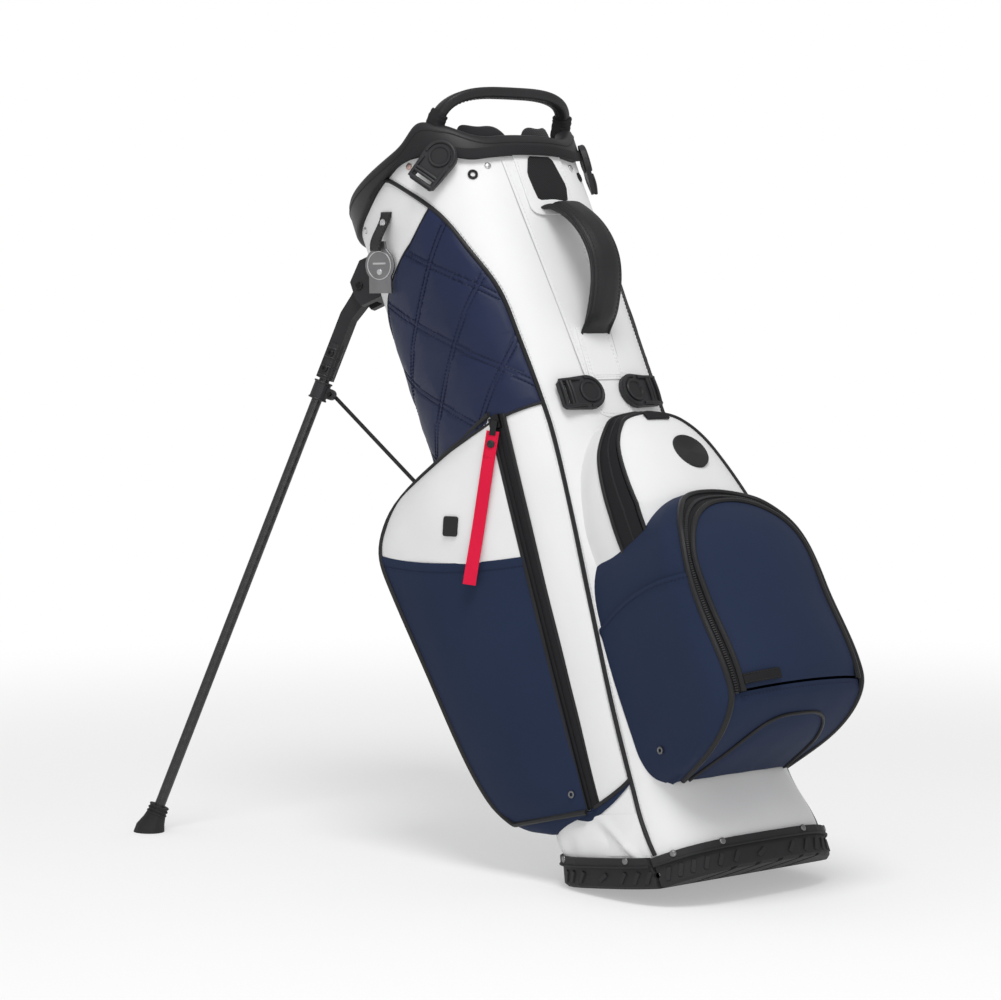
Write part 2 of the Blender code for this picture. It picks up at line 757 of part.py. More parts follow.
def make_grab_handle():
    """A bail over the spine side of the mouth, square on the rim at both roots."""
    steps = 18
    angle = math.radians(GRAB_ROOT_ANGLE_DEG)
    root = outline_point(BODY_HEIGHT, angle, -GRAB_INSET)
    root.z = rim_top(angle) + GAP + GRAB_RADIUS / 2
    points = []
    for k in range(steps + 1):
        turn = math.pi * k / steps
        c, s = math.cos(turn), max(math.sin(turn), 0)
        points.append(Vector((root.x + GRAB_LEAN * s ** 0.5, -math.copysign(abs(c) ** 0.5, c) * root.y,
                              root.z + GRAB_RISE * s ** 0.5)))
    foot = UP * (2 * GRAB_RADIUS)
    points = [points[0] - foot] + points + [points[-1] - foot]
    handle = add_part("grab_handle", round_wire(points, GRAB_RADIUS), BAG, BLACK, 0.5)
    inner, outer = -COLLAR_INSIDE - 2 * GRAB_RADIUS, COLLAR_PROUD + 2 * GRAB_RADIUS
    rim = loft([collar_ring(outer, COLLAR_FOOT), collar_ring(outer, below_rim=-SEAT_GAP),
                collar_ring(inner, below_rim=-SEAT_GAP), collar_ring(inner, COLLAR_FOOT)],
               caps=False, wrap=True)
    boolean(handle, add_cutter("collar_rim", rim, BAG), "DIFFERENCE")


def make_carry_handle():
    """A padded strap that arches off the spine and lies flat on it at both ends."""
    steps = 16
    rings = []
    for k in range(steps + 1):
        share = k / steps
        height = mix(CARRY_FOOT, CARRY_HEAD, share)
        arch = math.sin(math.pi * ease(share)) ** 0.75 if 0 < k < steps else 0
        back = half_sizes(height)[0] + CARRY_STANDOFF * arch - CARRY_THICKNESS / 4
        thick = CARRY_THICKNESS * (0.7 + 0.3 * arch)
        half = CARRY_WIDTH / 2
        ring = []
        for u, v in ((0.15, -1), (0, -0.8), (0, 0.8), (0.15, 1), (0.75, 1), (1, 0.75), (1, -0.75), (0.75, -1)):
            ring.append(Vector((back + u * thick, v * half, height)))
        rings.append(ring)
    handle = add_part("carry_handle", loft(rings), BAG, BLACK, 0.45)
    boolean(handle, ENVELOPE, "DIFFERENCE")


# Pockets on the spine

BALL_STATIONS = ((0.0, 0.46, 0.80), (0.04, 0.73, 0.93), (0.11, 0.92, 0.99), (0.20, 1.0, 1.0),
                 (0.52, 0.97, 0.99), (0.77, 0.95, 0.94), (0.92, 0.87, 0.83), (1.0, 0.77, 0.72))
UPPER_STATIONS = ((0.0, 1.0, 0.97), (0.35, 0.90, 1.0), (0.72, 0.79, 0.88), (1.0, 0.68, 0.66))


def pocket_ring(height, reach, half_width, crown, shrink=0.0):
    """Plan of a spine pocket: flat sides, a crowned front and tight corners, its back in the body."""
    back = WAIST_SPINE / 3
    reach -= shrink
    half_width -= shrink
    corner = reach - crown
    plan = [(back, -half_width), (mix(back, corner, 0.7), -half_width), (corner, -0.96 * half_width)]
    for k in range(1, 6):
        share = k / 6 * 2 - 1
        plan.append((corner + crown * (1 - share * share), 0.96 * half_width * share))
    plan += [(x, -y) for x, y in reversed(plan[:3])]
    return [Vector((x, y, height)) for x, y in plan]


def station_rings(stations, foot, head, reach, half_width, crown, shrink=0.0):
    rings = []
    for rise, reach_share, width_share in stations:
        height = mix(foot + shrink, head - shrink, rise)
        rings.append(pocket_ring(height, reach * reach_share, half_width * width_share,
                                 crown * reach_share, shrink))
    return rings


def ball_body(shrink=0.0):
    return loft(station_rings(BALL_STATIONS, BALL_FOOT, BALL_HEAD, BALL_REACH + BALL_CROWN,
                              BALL_HALF_WIDTH, BALL_CROWN, shrink))


def drop_outline(grow):
    """The drop panel's outline seen from behind the bag: straight foot, rounded top corners."""
    half = DROP_HALF_WIDTH + grow
    radius = DROP_TOP_ROUND + grow
    head = DROP_HEAD + grow
    points = [(-half, DROP_FOOT - grow), (half, DROP_FOOT - grow)]
    for side, start in ((1, 0), (-1, 90)):
        for k in range(6):
            angle = math.radians(start + 90 * k / 5)
            points.append((side * (half - radius) + radius * math.cos(angle),
                           head - radius + radius * math.sin(angle)))
    return points


def drop_prism(grow, first, last):
    bm = plate(drop_outline(grow), last - first)
    turn = Matrix(((0, 0, 1), (1, 0, 0), (0, 1, 0))).to_4x4()
    bm.transform(Matrix.Translation(((first + last) / 2, 0, 0)) @ turn)
    return bm


def make_ball_pocket():
    back = max(WAIST_SPINE, MOUTH_SPINE) + BALL_WALL
    front = BALL_REACH + 2 * BALL_CROWN
    pocket = add_part("ball_pocket", ball_body(), BAG, NAVY, 0.8)
    boolean(pocket, ENVELOPE, "DIFFERENCE")
    hollow = add_cutter("ball_pocket_hollow", drop_prism(0, back, front), BAG)
    boolean(pocket, hollow, "DIFFERENCE")
    hinge = add_empty("panel_hinge", BAG, Matrix.Translation((ball_front(DROP_FOOT, 0), 0, DROP_FOOT - GAP)))
    panel = add_part("ball_pocket_panel", into(hinge, ball_body()), hinge, NAVY, 0.8)
    boolean(panel, add_cutter("ball_pocket_inside", ball_body(BALL_WALL), BAG), "DIFFERENCE")
    outline = add_cutter("drop_panel_outline", drop_prism(-DROP_CLEAR, back, front), BAG)
    boolean(panel, outline, "INTERSECT")
    add_part("panel_pull", into(hinge, panel_pull()), hinge, BLACK, 0.6)


def ball_front(height, y):
    """How far the ball pocket's front reaches, read off its stations."""
    share = (height - BALL_FOOT) / (BALL_HEAD - BALL_FOOT)
    for (low, a, wide), (high, b, wider) in zip(BALL_STATIONS, BALL_STATIONS[1:]):
        if low <= share <= high:
            part = (share - low) / (high - low)
            reach = mix(a, b, part)
            across = y / (0.96 * BALL_HALF_WIDTH * mix(wide, wider, part))
            return (BALL_REACH + BALL_CROWN) * reach - BALL_CROWN * reach * across * across


def panel_pull():
    """A webbing tab on the drop panel, low at its near corner."""
    height = DROP_FOOT + DROP_PULL_WIDTH
    low = -DROP_HALF_WIDTH + DROP_PULL_WIDTH / 2
    rings = []
    for k in range(5):
        y = low + DROP_PULL_LENGTH * k / 4
        ring = []
        for lift, z in ((GAP, -0.5), (2 * GAP + PANEL_THICKNESS, -0.5), (2 * GAP + PANEL_THICKNESS, 0.5),
                        (GAP, 0.5)):
            level = height + z * DROP_PULL_WIDTH
            ring.append(Vector((ball_front(level, y) + lift + GAP, y, level)))
        rings.append(ring)
    return loft(rings)


def make_upper_pocket():
    foot = BALL_HEAD + 2 * GAP
    rings = station_rings(UPPER_STATIONS, foot, UPPER_HEAD, UPPER_REACH, UPPER_HALF_WIDTH, BALL_CROWN)
    pocket = add_part("upper_pocket", loft(rings), BAG, WHITE, 0.45)
    boolean(pocket, ENVELOPE, "DIFFERENCE")


# Side pockets with their zips

SIDE_STATIONS = ((0.0, 0.30), (0.13, 0.52), (0.17, 0.66), (0.28, 0.81), (0.5, 0.96), (0.72, 1.10),
                 (0.77, 1.10), (0.81, 1.01), (0.87, 0.73), (0.92, 0.24), (1.0, 0.05))
SIDE_RINGS = 24


def zip_point(height, lift=0.0):
    """A point on the straight zip line of the far side, lifted off the body."""
    share = (height - ZIP_FOOT) / (ZIP_HEAD - ZIP_FOOT)
    foot = side_reach(ZIP_FOOT, ZIP_FOOT_X)
    head = side_reach(ZIP_HEAD, ZIP_HEAD_X)
    return Vector((mix(ZIP_FOOT_X, ZIP_HEAD_X, share), mix(foot, head, share) + lift, height))


def zip_axes():
    """Across, out of and along the zip of the far side."""
    along = (zip_point(ZIP_HEAD) - zip_point(ZIP_FOOT)).normalized()
    slope = side_reach(ZIP_HEAD, ZIP_HEAD_X + ZIP_HALF_WIDTH) - side_reach(ZIP_HEAD, ZIP_HEAD_X - ZIP_HALF_WIDTH)
    across = Vector((2 * ZIP_HALF_WIDTH, slope, 0)).normalized()
    out = along.cross(across).normalized()
    return out.cross(along), out, along


def mirrored(bm, side):
    """The same form on the near side, for side -1."""
    if side < 0:
        bm.transform(Matrix.Diagonal((1, -1, 1, 1)))
        bmesh.ops.reverse_faces(bm, faces=bm.faces)
    return bm


def smooth_value(stations, place):
    """A smooth curve through stations of place and value."""
    places = [station[0] for station in stations]
    values = [station[1] for station in stations]
    last = len(stations) - 1
    slopes = []
    for k in range(last + 1):
        low, high = max(k - 1, 0), min(k + 1, last)
        slopes.append((values[high] - values[low]) / (places[high] - places[low]))
    k = max(i for i in range(last) if places[i] <= place)
    span = places[k + 1] - places[k]
    t = (place - places[k]) / span
    ends = values[k] * (1 + 2 * t) * (1 - t) ** 2 + values[k + 1] * t * t * (3 - 2 * t)
    return ends + span * (slopes[k] * t * (1 - t) ** 2 - slopes[k + 1] * t * t * (1 - t))


def side_pocket_ring(height, reach):
    spine, leg, side, power = half_sizes(min(max(height, WAIST_HEIGHT), BODY_HEIGHT))
    corner = Vector((-SIDE_CORNER_X, SIDE_CORNER_Y, height))
    full = Vector((-SIDE_EDGE_X, SIDE_EDGE_Y, height))
    edge = corner.lerp(full, reach)
    across, out, along = zip_axes()
    start = zip_point(height, ZIP_PROUD) - across * (ZIP_HALF_WIDTH + GAP)
    start.z = height
    middle = start.lerp(edge, 0.55) + Vector((0, SIDE_CROWN * 2 * reach, 0))
    ring = []
    for k in range(6):
        t = k / 5
        ring.append(start * (1 - t) ** 2 + middle * (2 * t * (1 - t)) + edge * (t * t))
    gusset = Vector((-0.84 * leg, 0.66 * side, height))
    behind = start - out * (side / 2)
    inside = [Vector((-leg / 2, side / 3, height)), Vector((behind.x, behind.y, height))]
    return ring + [edge.lerp(gusset, 0.5), gusset] + inside


def make_side_pocket(name, side):
    rings = []
    for k in range(SIDE_RINGS):
        rise = k / (SIDE_RINGS - 1)
        rings.append(side_pocket_ring(mix(SIDE_FOOT, SIDE_HEAD, rise), smooth_value(SIDE_STATIONS, rise)))
    pocket = loft(rings)
    trim(pocket, UP * SIDE_FLOOR, Vector((SIDE_FLOOR_SLOPE, 0, -1)).normalized())
    head = Vector((ZIP_HEAD_X, 0, SIDE_HEAD - ZIP_HALF_WIDTH))
    trim(pocket, head, Vector((-SIDE_TOP_SLOPE, 0, 1)).normalized())
    part = add_part("side_pocket_" + name, mirrored(pocket, side), BAG, NAVY, 0.8)
    boolean(part, ENVELOPE, "DIFFERENCE")


def zip_bar(foot, head, half_width, sunk, proud):
    across, out, along = zip_axes()
    rings = []
    for height in (foot, head):
        middle = zip_point(height)
        rings.append([middle + across * (u * half_width) + out * v
                      for u, v in ((-1, -sunk), (1, -sunk), (1, proud), (-1, proud))])
    return loft(rings)


def make_zip(name, side):
    across, out, along = zip_axes()
    tape = zip_bar(ZIP_FOOT, ZIP_HEAD, ZIP_HALF_WIDTH, FABRIC, ZIP_PROUD)
    tape = add_part("zip_tape_" + name, mirrored(tape, side), BAG, BLACK, 0.7)
    boolean(tape, ENVELOPE, "DIFFERENCE")
    seat = ZIP_PROUD + RUNNING_GAP
    low = ZIP_HEAD - SLIDER_LENGTH - ZIP_HALF_WIDTH
    slider = zip_bar(low, low + SLIDER_LENGTH, SLIDER_WIDTH / 2, -seat, seat + SLIDER_THICKNESS)
    place = zip_point(low)
    frame = add_empty("slider_frame_" + name, BAG, Matrix.Translation((place.x, side * place.y, place.z)))
    add_part("zip_slider_" + name, into(frame, mirrored(slider, side)), frame, STEEL, 0.35, 1.0)
    hang = WORLD_DOWN + Vector((0, RIBBON_FLARE, 0))
    hang.normalize()
    wide = hang.cross(out).normalized()
    thick = wide.cross(hang).normalized()
    top = zip_point(low + SLIDER_LENGTH / 2) + out * (seat + SLIDER_THICKNESS + GAP + RIBBON_THICKNESS)
    rings = []
    for reach in (0, RIBBON_LENGTH / 2, RIBBON_LENGTH):
        middle = top + hang * reach
        rings.append([middle + wide * (u * RIBBON_WIDTH / 2) + thick * (v * RIBBON_THICKNESS / 2)
                      for u, v in ((-1, -1), (1, -1), (1, 1), (-1, 1))])
    add_part("zip_ribbon_" + name, into(frame, mirrored(loft(rings), side)), frame, RED, 0.7)


def make_hip_pad():
    """A soft pad on the leg side, crowned, with its corners drawn in."""
    stations = ((0.0, 0.86, 0.35), (0.06, 1.0, 0.8), (0.5, 1.0, 1.0), (0.94, 1.0, 0.8), (1.0, 0.86, 0.35))
    rings = []
    for rise, width, thick in stations:
        height = mix(PAD_FOOT, PAD_HEAD, rise)
        leg = half_sizes(height)[1]
        half = PAD_HALF_WIDTH * width
        front = leg + PAD_THICKNESS * thick
        plan = ((leg - 2 * PAD_THICKNESS, -half), (leg - 2 * PAD_THICKNESS, half), (mix(leg, front, 0.3), half),
                (front, 0.8 * half), (front + GAP, 0), (front, -0.8 * half), (mix(leg, front, 0.3), -half))
        rings.append([Vector((-x, y, height)) for x, y in plan])
    pad = add_part("hip_pad", loft(rings), BAG, BLACK, 0.9)
    boolean(pad, ENVELOPE, "DIFFERENCE")


# Legs: each swings in an upright plane of the bag, turned out from the leg side

LEG_OPEN = math.radians(LEG_OPEN_DEG)
ROD_TILT = math.radians(ROD_TILT_DEG)


class Leg:
    """The frames of one leg: bracket, leg and push rod, for the near side -1 or the far side 1."""

    def __init__(self, name, side):
        plane = math.radians(LEG_PLANE_DEG)
        self.name = name
        self.side = side
        self.hinge = Vector((-LEG_HINGE_X, side * LEG_HINGE_Y, LEG_HINGE_HEIGHT))
        self.out = Vector((-math.cos(plane), side * math.sin(plane), 0))
        self.pin = UP.cross(self.out)
        up = UP * math.cos(LEG_OPEN) - self.out * math.sin(LEG_OPEN)
        face = self.out * math.cos(LEG_OPEN) + UP * math.sin(LEG_OPEN)
        self.bracket_matrix = axes(self.hinge, self.out, self.pin, UP)
        self.leg_matrix = axes(self.hinge, face, self.pin, up)
        self.clamp = self.leg_matrix @ Vector((TUBE_OFFSET - EAR_OFFSET, 0, -CLAMP_DISTANCE))
        rod_up = self.out * math.sin(ROD_TILT) + UP * math.cos(ROD_TILT)
        rod_out = self.out * math.cos(ROD_TILT) - UP * math.sin(ROD_TILT)
        self.rod_matrix = axes(self.clamp, rod_out, self.pin, rod_up)
        start = (self.clamp - self.hinge).dot(self.out)
        self.rod_length = (start + ROD_INSET) / math.sin(ROD_TILT)
        self.link = self.clamp - rod_up * self.rod_length
        self.link_matrix = axes(self.link, self.out, self.pin, UP)
        self.bracket = add_empty("bracket_frame_" + name, BAG, self.bracket_matrix)
        self.leg = add_empty("leg_frame_" + name, BAG, self.leg_matrix)
        self.rod = add_empty("rod_frame_" + name, BAG, self.rod_matrix)
        self.link_frame = add_empty("link_frame_" + name, BAG, self.link_matrix)
        world = BAG_MATRIX @ self.leg_matrix
        down = world.to_3x3() @ -UP
        axis_top = world @ Vector((TUBE_OFFSET, 0, 0))
        self.length = -axis_top.z / down.z
        self.ground = world.inverted().to_3x3() @ -UP
        self.sole = Vector((TUBE_OFFSET, 0, -self.length))

    def across(self, distance):
        """A signed distance along the pivot towards the middle of the bag."""
        return self.side * distance


def make_bracket(leg):
    half = BRACKET_HALF_WIDTH
    body = [(-LEG_HINGE_X / 2, -BRACKET_FOOT), (BRACKET_FRONT / 2, -BRACKET_FOOT),
            (BRACKET_FRONT, -BRACKET_FOOT / 2), (BRACKET_FRONT, BRACKET_FRONT),
            (-BRACKET_FRONT, BRACKET_TOP), (-LEG_HINGE_X / 2, BRACKET_TOP)]
    bm = plate(body, 2 * half)
    bm.transform(Matrix.Rotation(math.pi / 2, 4, "X"))
    bracket = add_part("leg_bracket_" + leg.name, bm, leg.bracket, BLACK, 0.5)
    boolean(bracket, ENVELOPE, "DIFFERENCE")
    room = ARM_HEAD_RADIUS + 8 * GAP
    wide = ARM_HALF_THICKNESS + GAP
    slot = block((-room, -wide, -2 * BRACKET_FOOT), (3 * BRACKET_FRONT, wide, room))
    boolean(bracket, add_cutter("bracket_slot_" + leg.name, slot, leg.bracket), "DIFFERENCE")
    hole = cylinder((0, -2 * half, 0), (0, 2 * half, 0), PIVOT_PIN_RADIUS + RUNNING_GAP)
    boolean(bracket, add_cutter("pivot_hole_" + leg.name, hole, leg.bracket), "DIFFERENCE")
    face = half + GAP
    profile = [(0, face + PIVOT_HEAD), (0.7 * PIVOT_HEAD_RADIUS, face + PIVOT_HEAD),
               (PIVOT_HEAD_RADIUS, face + PIVOT_HEAD / 2), (PIVOT_HEAD_RADIUS, face),
               (PIVOT_PIN_RADIUS, face), (PIVOT_PIN_RADIUS, -face), (0, -face)]
    turn = Matrix.Rotation(leg.side * math.pi / 2, 4, "X")
    turned("pivot_pin_" + leg.name, profile, leg.bracket, turn, STEEL, 0.3, 1.0)


def make_arm(leg):
    """Moulded upper arm: round head, a dog-leg out to the tube and a socket round its top."""
    head = [(ARM_HEAD_RADIUS * math.cos(a), ARM_HEAD_RADIUS * math.sin(a))
            for a in (math.radians(angle) for angle in range(0, 181, 20))]
    grip = ARM_LENGTH - TUBE_GRIP
    outline = head + [(-ARM_HALF_WIDTH, -0.25 * grip), (TUBE_OFFSET - ARM_HALF_WIDTH, -0.55 * grip),
                      (TUBE_OFFSET - ARM_HALF_WIDTH, -ARM_LENGTH), (TUBE_OFFSET + ARM_HALF_WIDTH, -ARM_LENGTH),
                      (TUBE_OFFSET + ARM_HALF_WIDTH, -0.5 * grip), (ARM_HALF_WIDTH + 0.003, -0.2 * grip)]
    bm = plate(outline, 2 * ARM_HALF_THICKNESS)
    bm.transform(Matrix.Rotation(math.pi / 2, 4, "X"))
    arm = add_part("leg_arm_" + leg.name, bm, leg.leg, BLACK, 0.5)
    collar = cylinder((TUBE_OFFSET, 0, -ARM_LENGTH - GAP), (TUBE_OFFSET, 0, -grip), ARM_HALF_WIDTH + 0.001)
    boolean(arm, add_cutter("arm_socket_wall_" + leg.name, collar, leg.leg), "UNION")
    socket = cylinder((TUBE_OFFSET, 0, -2 * ARM_LENGTH), (TUBE_OFFSET, 0, -grip - GAP), TUBE_RADIUS + GAP)
    boolean(arm, add_cutter("arm_socket_" + leg.name, socket, leg.leg), "DIFFERENCE")
    hole = cylinder((0, -BRACKET_HALF_WIDTH, 0), (0, BRACKET_HALF_WIDTH, 0), PIVOT_PIN_RADIUS + RUNNING_GAP)
    boolean(arm, add_cutter("arm_hole_" + leg.name, hole, leg.leg), "DIFFERENCE")


def make_tube(leg):
    top = -(ARM_LENGTH - TUBE_GRIP) - 2 * GAP
    end = -leg.length + FOOT_TALL / 2 + GAP
    bm = cylinder((TUBE_OFFSET, 0, end), (TUBE_OFFSET, 0, top), TUBE_RADIUS)
    tube = add_part("leg_tube_" + leg.name, bm, leg.leg, BLACK, 0.35)
    bore = cylinder((TUBE_OFFSET, 0, end - FOOT_TALL), (TUBE_OFFSET, 0, top + FOOT_TALL), TUBE_RADIUS - TUBE_WALL)
    boolean(tube, add_cutter("tube_bore_" + leg.name, bore, leg.leg), "DIFFERENCE")


def make_clamp(leg):
    """A clamp on the tube with an ear on the bag's side, where the push rod hooks in."""
    low, high = -CLAMP_DISTANCE - CLAMP_HALF_HEIGHT, -CLAMP_DISTANCE + CLAMP_HALF_HEIGHT
    bm = cylinder((TUBE_OFFSET, 0, low), (TUBE_OFFSET, 0, high), CLAMP_RADIUS)
    clamp = add_part("rod_clamp_" + leg.name, bm, leg.leg, BLACK, 0.5)
    tip = TUBE_OFFSET - EAR_OFFSET
    ear = [(TUBE_OFFSET, EAR_RADIUS)]
    for angle in range(90, 271, 20):
        a = math.radians(angle)
        ear.append((tip + EAR_RADIUS * math.cos(a), EAR_RADIUS * math.sin(a)))
    ear.append((TUBE_OFFSET, -EAR_RADIUS))
    bm = plate(ear, 2 * EAR_HALF_THICKNESS)
    bm.transform(Matrix.Translation((0, 0, -CLAMP_DISTANCE)) @ Matrix.Rotation(math.pi / 2, 4, "X"))
    boolean(clamp, add_cutter("clamp_ear_" + leg.name, bm, leg.leg), "UNION")
    bore = cylinder((TUBE_OFFSET, 0, 2 * low), (TUBE_OFFSET, 0, 0), TUBE_RADIUS + GAP)
    boolean(clamp, add_cutter("clamp_bore_" + leg.name, bore, leg.leg), "DIFFERENCE")
    reach = 2 * EAR_RADIUS
    hole = cylinder((tip, -reach, -CLAMP_DISTANCE), (tip, reach, -CLAMP_DISTANCE), ROD_RADIUS + RUNNING_GAP)
    boolean(clamp, add_cutter("ear_hole_" + leg.name, hole, leg.leg), "DIFFERENCE")


def make_foot(leg):
    """A rubber boot on the tube's end, spread at the sole and cut flat on the ground."""
    rings = []
    for rise, radius in ((FOOT_TALL, FOOT_TOP_RADIUS), (0.75 * FOOT_TALL, FOOT_TOP_RADIUS),
                         (0.45 * FOOT_TALL, mix(FOOT_TOP_RADIUS, FOOT_SOLE_RADIUS, 0.35)),
                         (0.1 * FOOT_TALL, FOOT_SOLE_RADIUS), (-0.5 * FOOT_TALL, FOOT_SOLE_RADIUS)):
        ring = []
        for k in range(16):
            angle = math.tau * k / 16
            ring.append(leg.sole + Vector((1.12 * radius * math.cos(angle), radius * math.sin(angle), rise)))
        rings.append(ring)
    bm = loft(rings)
    trim(bm, leg.sole, leg.ground)
    foot = add_part("foot_" + leg.name, bm, leg.leg, BLACK, 0.8)
    socket = cylinder(leg.sole + UP * (FOOT_TALL / 2), leg.sole + UP * (2 * FOOT_TALL), TUBE_RADIUS + GAP)
    boolean(foot, add_cutter("foot_socket_" + leg.name, socket, leg.leg), "DIFFERENCE")


def make_rod(leg):
    """Push rod: hooked through the clamp's ear, running beside it to the slotted link."""
    lane = leg.across(ROD_SIDE)
    bend = 2 * ROD_RADIUS
    through = leg.across(-EAR_HALF_THICKNESS - ROD_RADIUS)
    hook = leg.across(LINK_SIDE + LINK_HALF_THICKNESS + ROD_HOOK)
    length = leg.rod_length
    points = [Vector((0, through, 0)), Vector((0, lane - leg.across(bend), 0)),
              Vector((0, lane - leg.across(0.3 * bend), -0.3 * bend)), Vector((0, lane, -bend)),
              Vector((0, lane, bend - length)), Vector((0, lane + leg.across(0.3 * bend), 0.3 * bend - length)),
              Vector((0, lane + leg.across(bend), -length)), Vector((0, hook, -length))]
    add_part("push_rod_" + leg.name, round_wire(points, ROD_RADIUS), leg.rod, STEEL, 0.35, 1.0)


def make_link(leg):
    """Slotted link on the top of the lift wire, where the rod's lower hook works."""
    middle = leg.across(LINK_SIDE)
    thick = LINK_HALF_THICKNESS
    bm = block((-LINK_HALF_WIDTH, middle - thick, -LINK_FOOT), (LINK_HALF_WIDTH, middle + thick, LINK_TOP))
    link = add_part("rod_link_" + leg.name, bm, leg.link_frame, BLACK, 0.5)
    slot = block((LINK_WALL - LINK_HALF_WIDTH, middle - 2 * thick, LINK_WALL - LINK_FOOT),
                 (LINK_HALF_WIDTH - LINK_WALL, middle + 2 * thick, LINK_TOP - LINK_WALL))
    boolean(link, add_cutter("link_slot_" + leg.name, slot, leg.link_frame), "DIFFERENCE")


def make_lift_wire(legs):
    """One bent wire: down from each link, outside the body, to the bar across the flap's lugs."""
    to_bag = BAG_MATRIX.inverted() @ FLAP_MATRIX
    points = []
    for leg in legs:
        top = leg.link_matrix @ Vector((0, leg.across(LINK_SIDE), -LINK_FOOT - GAP))
        end = to_bag @ Vector((BAR_X, leg.side * WIRE_BAR_HALF, WIRE_BAR_RISE))
        inner = to_bag @ Vector((BAR_X, leg.side * (WIRE_BAR_HALF - WIRE_BEND), WIRE_BAR_RISE))
        rise = (top - end).normalized() * WIRE_BEND
        bend = []
        for k in range(5):
            t = k / 4
            bend.append((end + rise) * (1 - t) ** 2 + end * (2 * t * (1 - t)) + inner * (t * t))
        run = [top, top - UP * WIRE_BEND] + bend
        points += run if leg.side < 0 else run[::-1]
    bar = to_bag @ Vector((BAR_X, 0, WIRE_BAR_RISE))
    frame = add_empty("wire_frame", BAG, Matrix.Translation(bar))
    add_part("lift_wire", into(frame, round_wire(points, WIRE_RADIUS)), frame, STEEL, 0.35, 1.0)


# Strap clips and tag

def collar_frame(angle):
    """Axes on the collar's outer face, like those on the body."""
    step = 0.02
    around = collar_point(angle + step) - collar_point(angle - step)
    around.normalize()
    return axes(collar_point(angle), around, UP, around.cross(UP))


def collar_point(angle):
    return outline_point(BODY_HEIGHT, angle, COLLAR_PROUD)


def make_clip(name, matrix, seat, tail_deg):
    frame = add_empty("clip_frame_" + name, BAG, matrix)
    sunk = -4 * CLIP_DISC_TALL
    lip = CLIP_DISC_RADIUS - 0.003
    profile = [(0, CLIP_DISC_TALL - 0.0025), (lip, CLIP_DISC_TALL - 0.0025), (lip + 0.001, CLIP_DISC_TALL),
               (CLIP_DISC_RADIUS, CLIP_DISC_TALL), (CLIP_DISC_RADIUS, sunk), (0, sunk)]
    disc = turned("clip_disc_" + name, profile, frame, Matrix.Identity(4), BLACK, 0.4)
    boolean(disc, seat, "DIFFERENCE")
    ring = [(CLIP_RING_RADIUS * math.cos(a), CLIP_RING_RADIUS * math.sin(a))
            for a in (math.radians(angle) for angle in range(-90, 91, 15))]
    tail = [(-CLIP_TAIL + 0.004, CLIP_TAIL_HALF), (-CLIP_TAIL, CLIP_TAIL_HALF - 0.004),
            (-CLIP_TAIL, 0.004 - CLIP_TAIL_HALF), (-CLIP_TAIL + 0.004, -CLIP_TAIL_HALF)]
    bm = plate(ring + tail, CLIP_BODY_THICKNESS)
    bm.transform(Matrix.Translation((0, 0, CLIP_BODY_LIFT + CLIP_BODY_THICKNESS / 2)))
    turn = Matrix.Rotation(math.radians(tail_deg), 4, "Z")
    body = add_part("clip_body_" + name, bm, frame, BLACK, 0.4)
    body.matrix_basis = turn
    bore = cylinder((0, 0, -CLIP_DISC_TALL), (0, 0, 2 * CLIP_DISC_TALL), CLIP_DISC_RADIUS + GAP, sides=20)
    boolean(body, add_cutter("clip_bore_" + name, bore, frame), "DIFFERENCE")
    first = -CLIP_TAIL + 0.006
    eye = block((first, 0.006 - CLIP_TAIL_HALF, -CLIP_DISC_TALL),
                (first + 0.006, CLIP_TAIL_HALF - 0.006, 2 * CLIP_DISC_TALL))
    eye = add_cutter("clip_eye_" + name, eye, frame)
    eye.matrix_basis = turn
    boolean(body, eye, "DIFFERENCE")


def make_tag():
    """A strap tab riveted below the collar, with a hanging tag on its post."""
    angle = -math.radians(TAG_ANGLE_DEG)
    matrix = surface_frame(TAG_HEIGHT, angle)
    down = matrix.to_3x3().inverted() @ WORLD_DOWN
    turn = Matrix.Rotation(math.atan2(down.x, -down.y), 4, "Z")
    frame = add_empty("tag_frame", BAG, matrix)
    half = TAG_TAB_WIDTH / 2
    low = -TAG_POST_RADIUS - half
    tab = block((-half, low, -4 * TAG_TAB_THICKNESS), (half, low + TAG_TAB_LENGTH, TAG_TAB_THICKNESS))
    tab = add_part("tag_tab", tab, frame, BLACK, 0.6)
    boolean(tab, ENVELOPE, "DIFFERENCE")
    top = TAG_TAB_THICKNESS + TAG_THICKNESS + 3 * GAP
    post = cylinder((0, 0, TAG_TAB_THICKNESS / 2), (0, 0, top), TAG_POST_RADIUS)
    boolean(tab, add_cutter("tag_post", post, frame), "UNION")
    neck = TAG_TAB_WIDTH / 2
    centre = -0.5 * TAG_LENGTH
    outline = [(neck, neck), (-neck, neck), (-neck, centre + TAG_RADIUS)]
    outline += [(TAG_RADIUS * math.cos(a), centre + TAG_RADIUS * math.sin(a))
                for a in (math.radians(angle) for angle in range(150, 226, 15))]
    outline += [(-TAG_END_WIDTH / 2, -TAG_LENGTH), (TAG_END_WIDTH / 2, -TAG_LENGTH)]
    outline += [(TAG_RADIUS * math.cos(a), centre + TAG_RADIUS * math.sin(a))
                for a in (math.radians(angle) for angle in range(-45, 31, 15))]
    outline.append((neck, centre + TAG_RADIUS))
    bm = plate(outline, TAG_THICKNESS)
    bm.transform(Matrix.Translation((0, 0, TAG_TAB_THICKNESS + GAP + TAG_THICKNESS / 2)))
    tag = add_part("bag_tag", bm, frame, GREY, 0.4, 0.6)
    tag.matrix_basis = turn
    hole = cylinder((0, 0, 0), (0, 0, 2 * top), TAG_POST_RADIUS + RUNNING_GAP)
    boolean(tag, add_cutter("tag_hole", hole, frame), "DIFFERENCE")


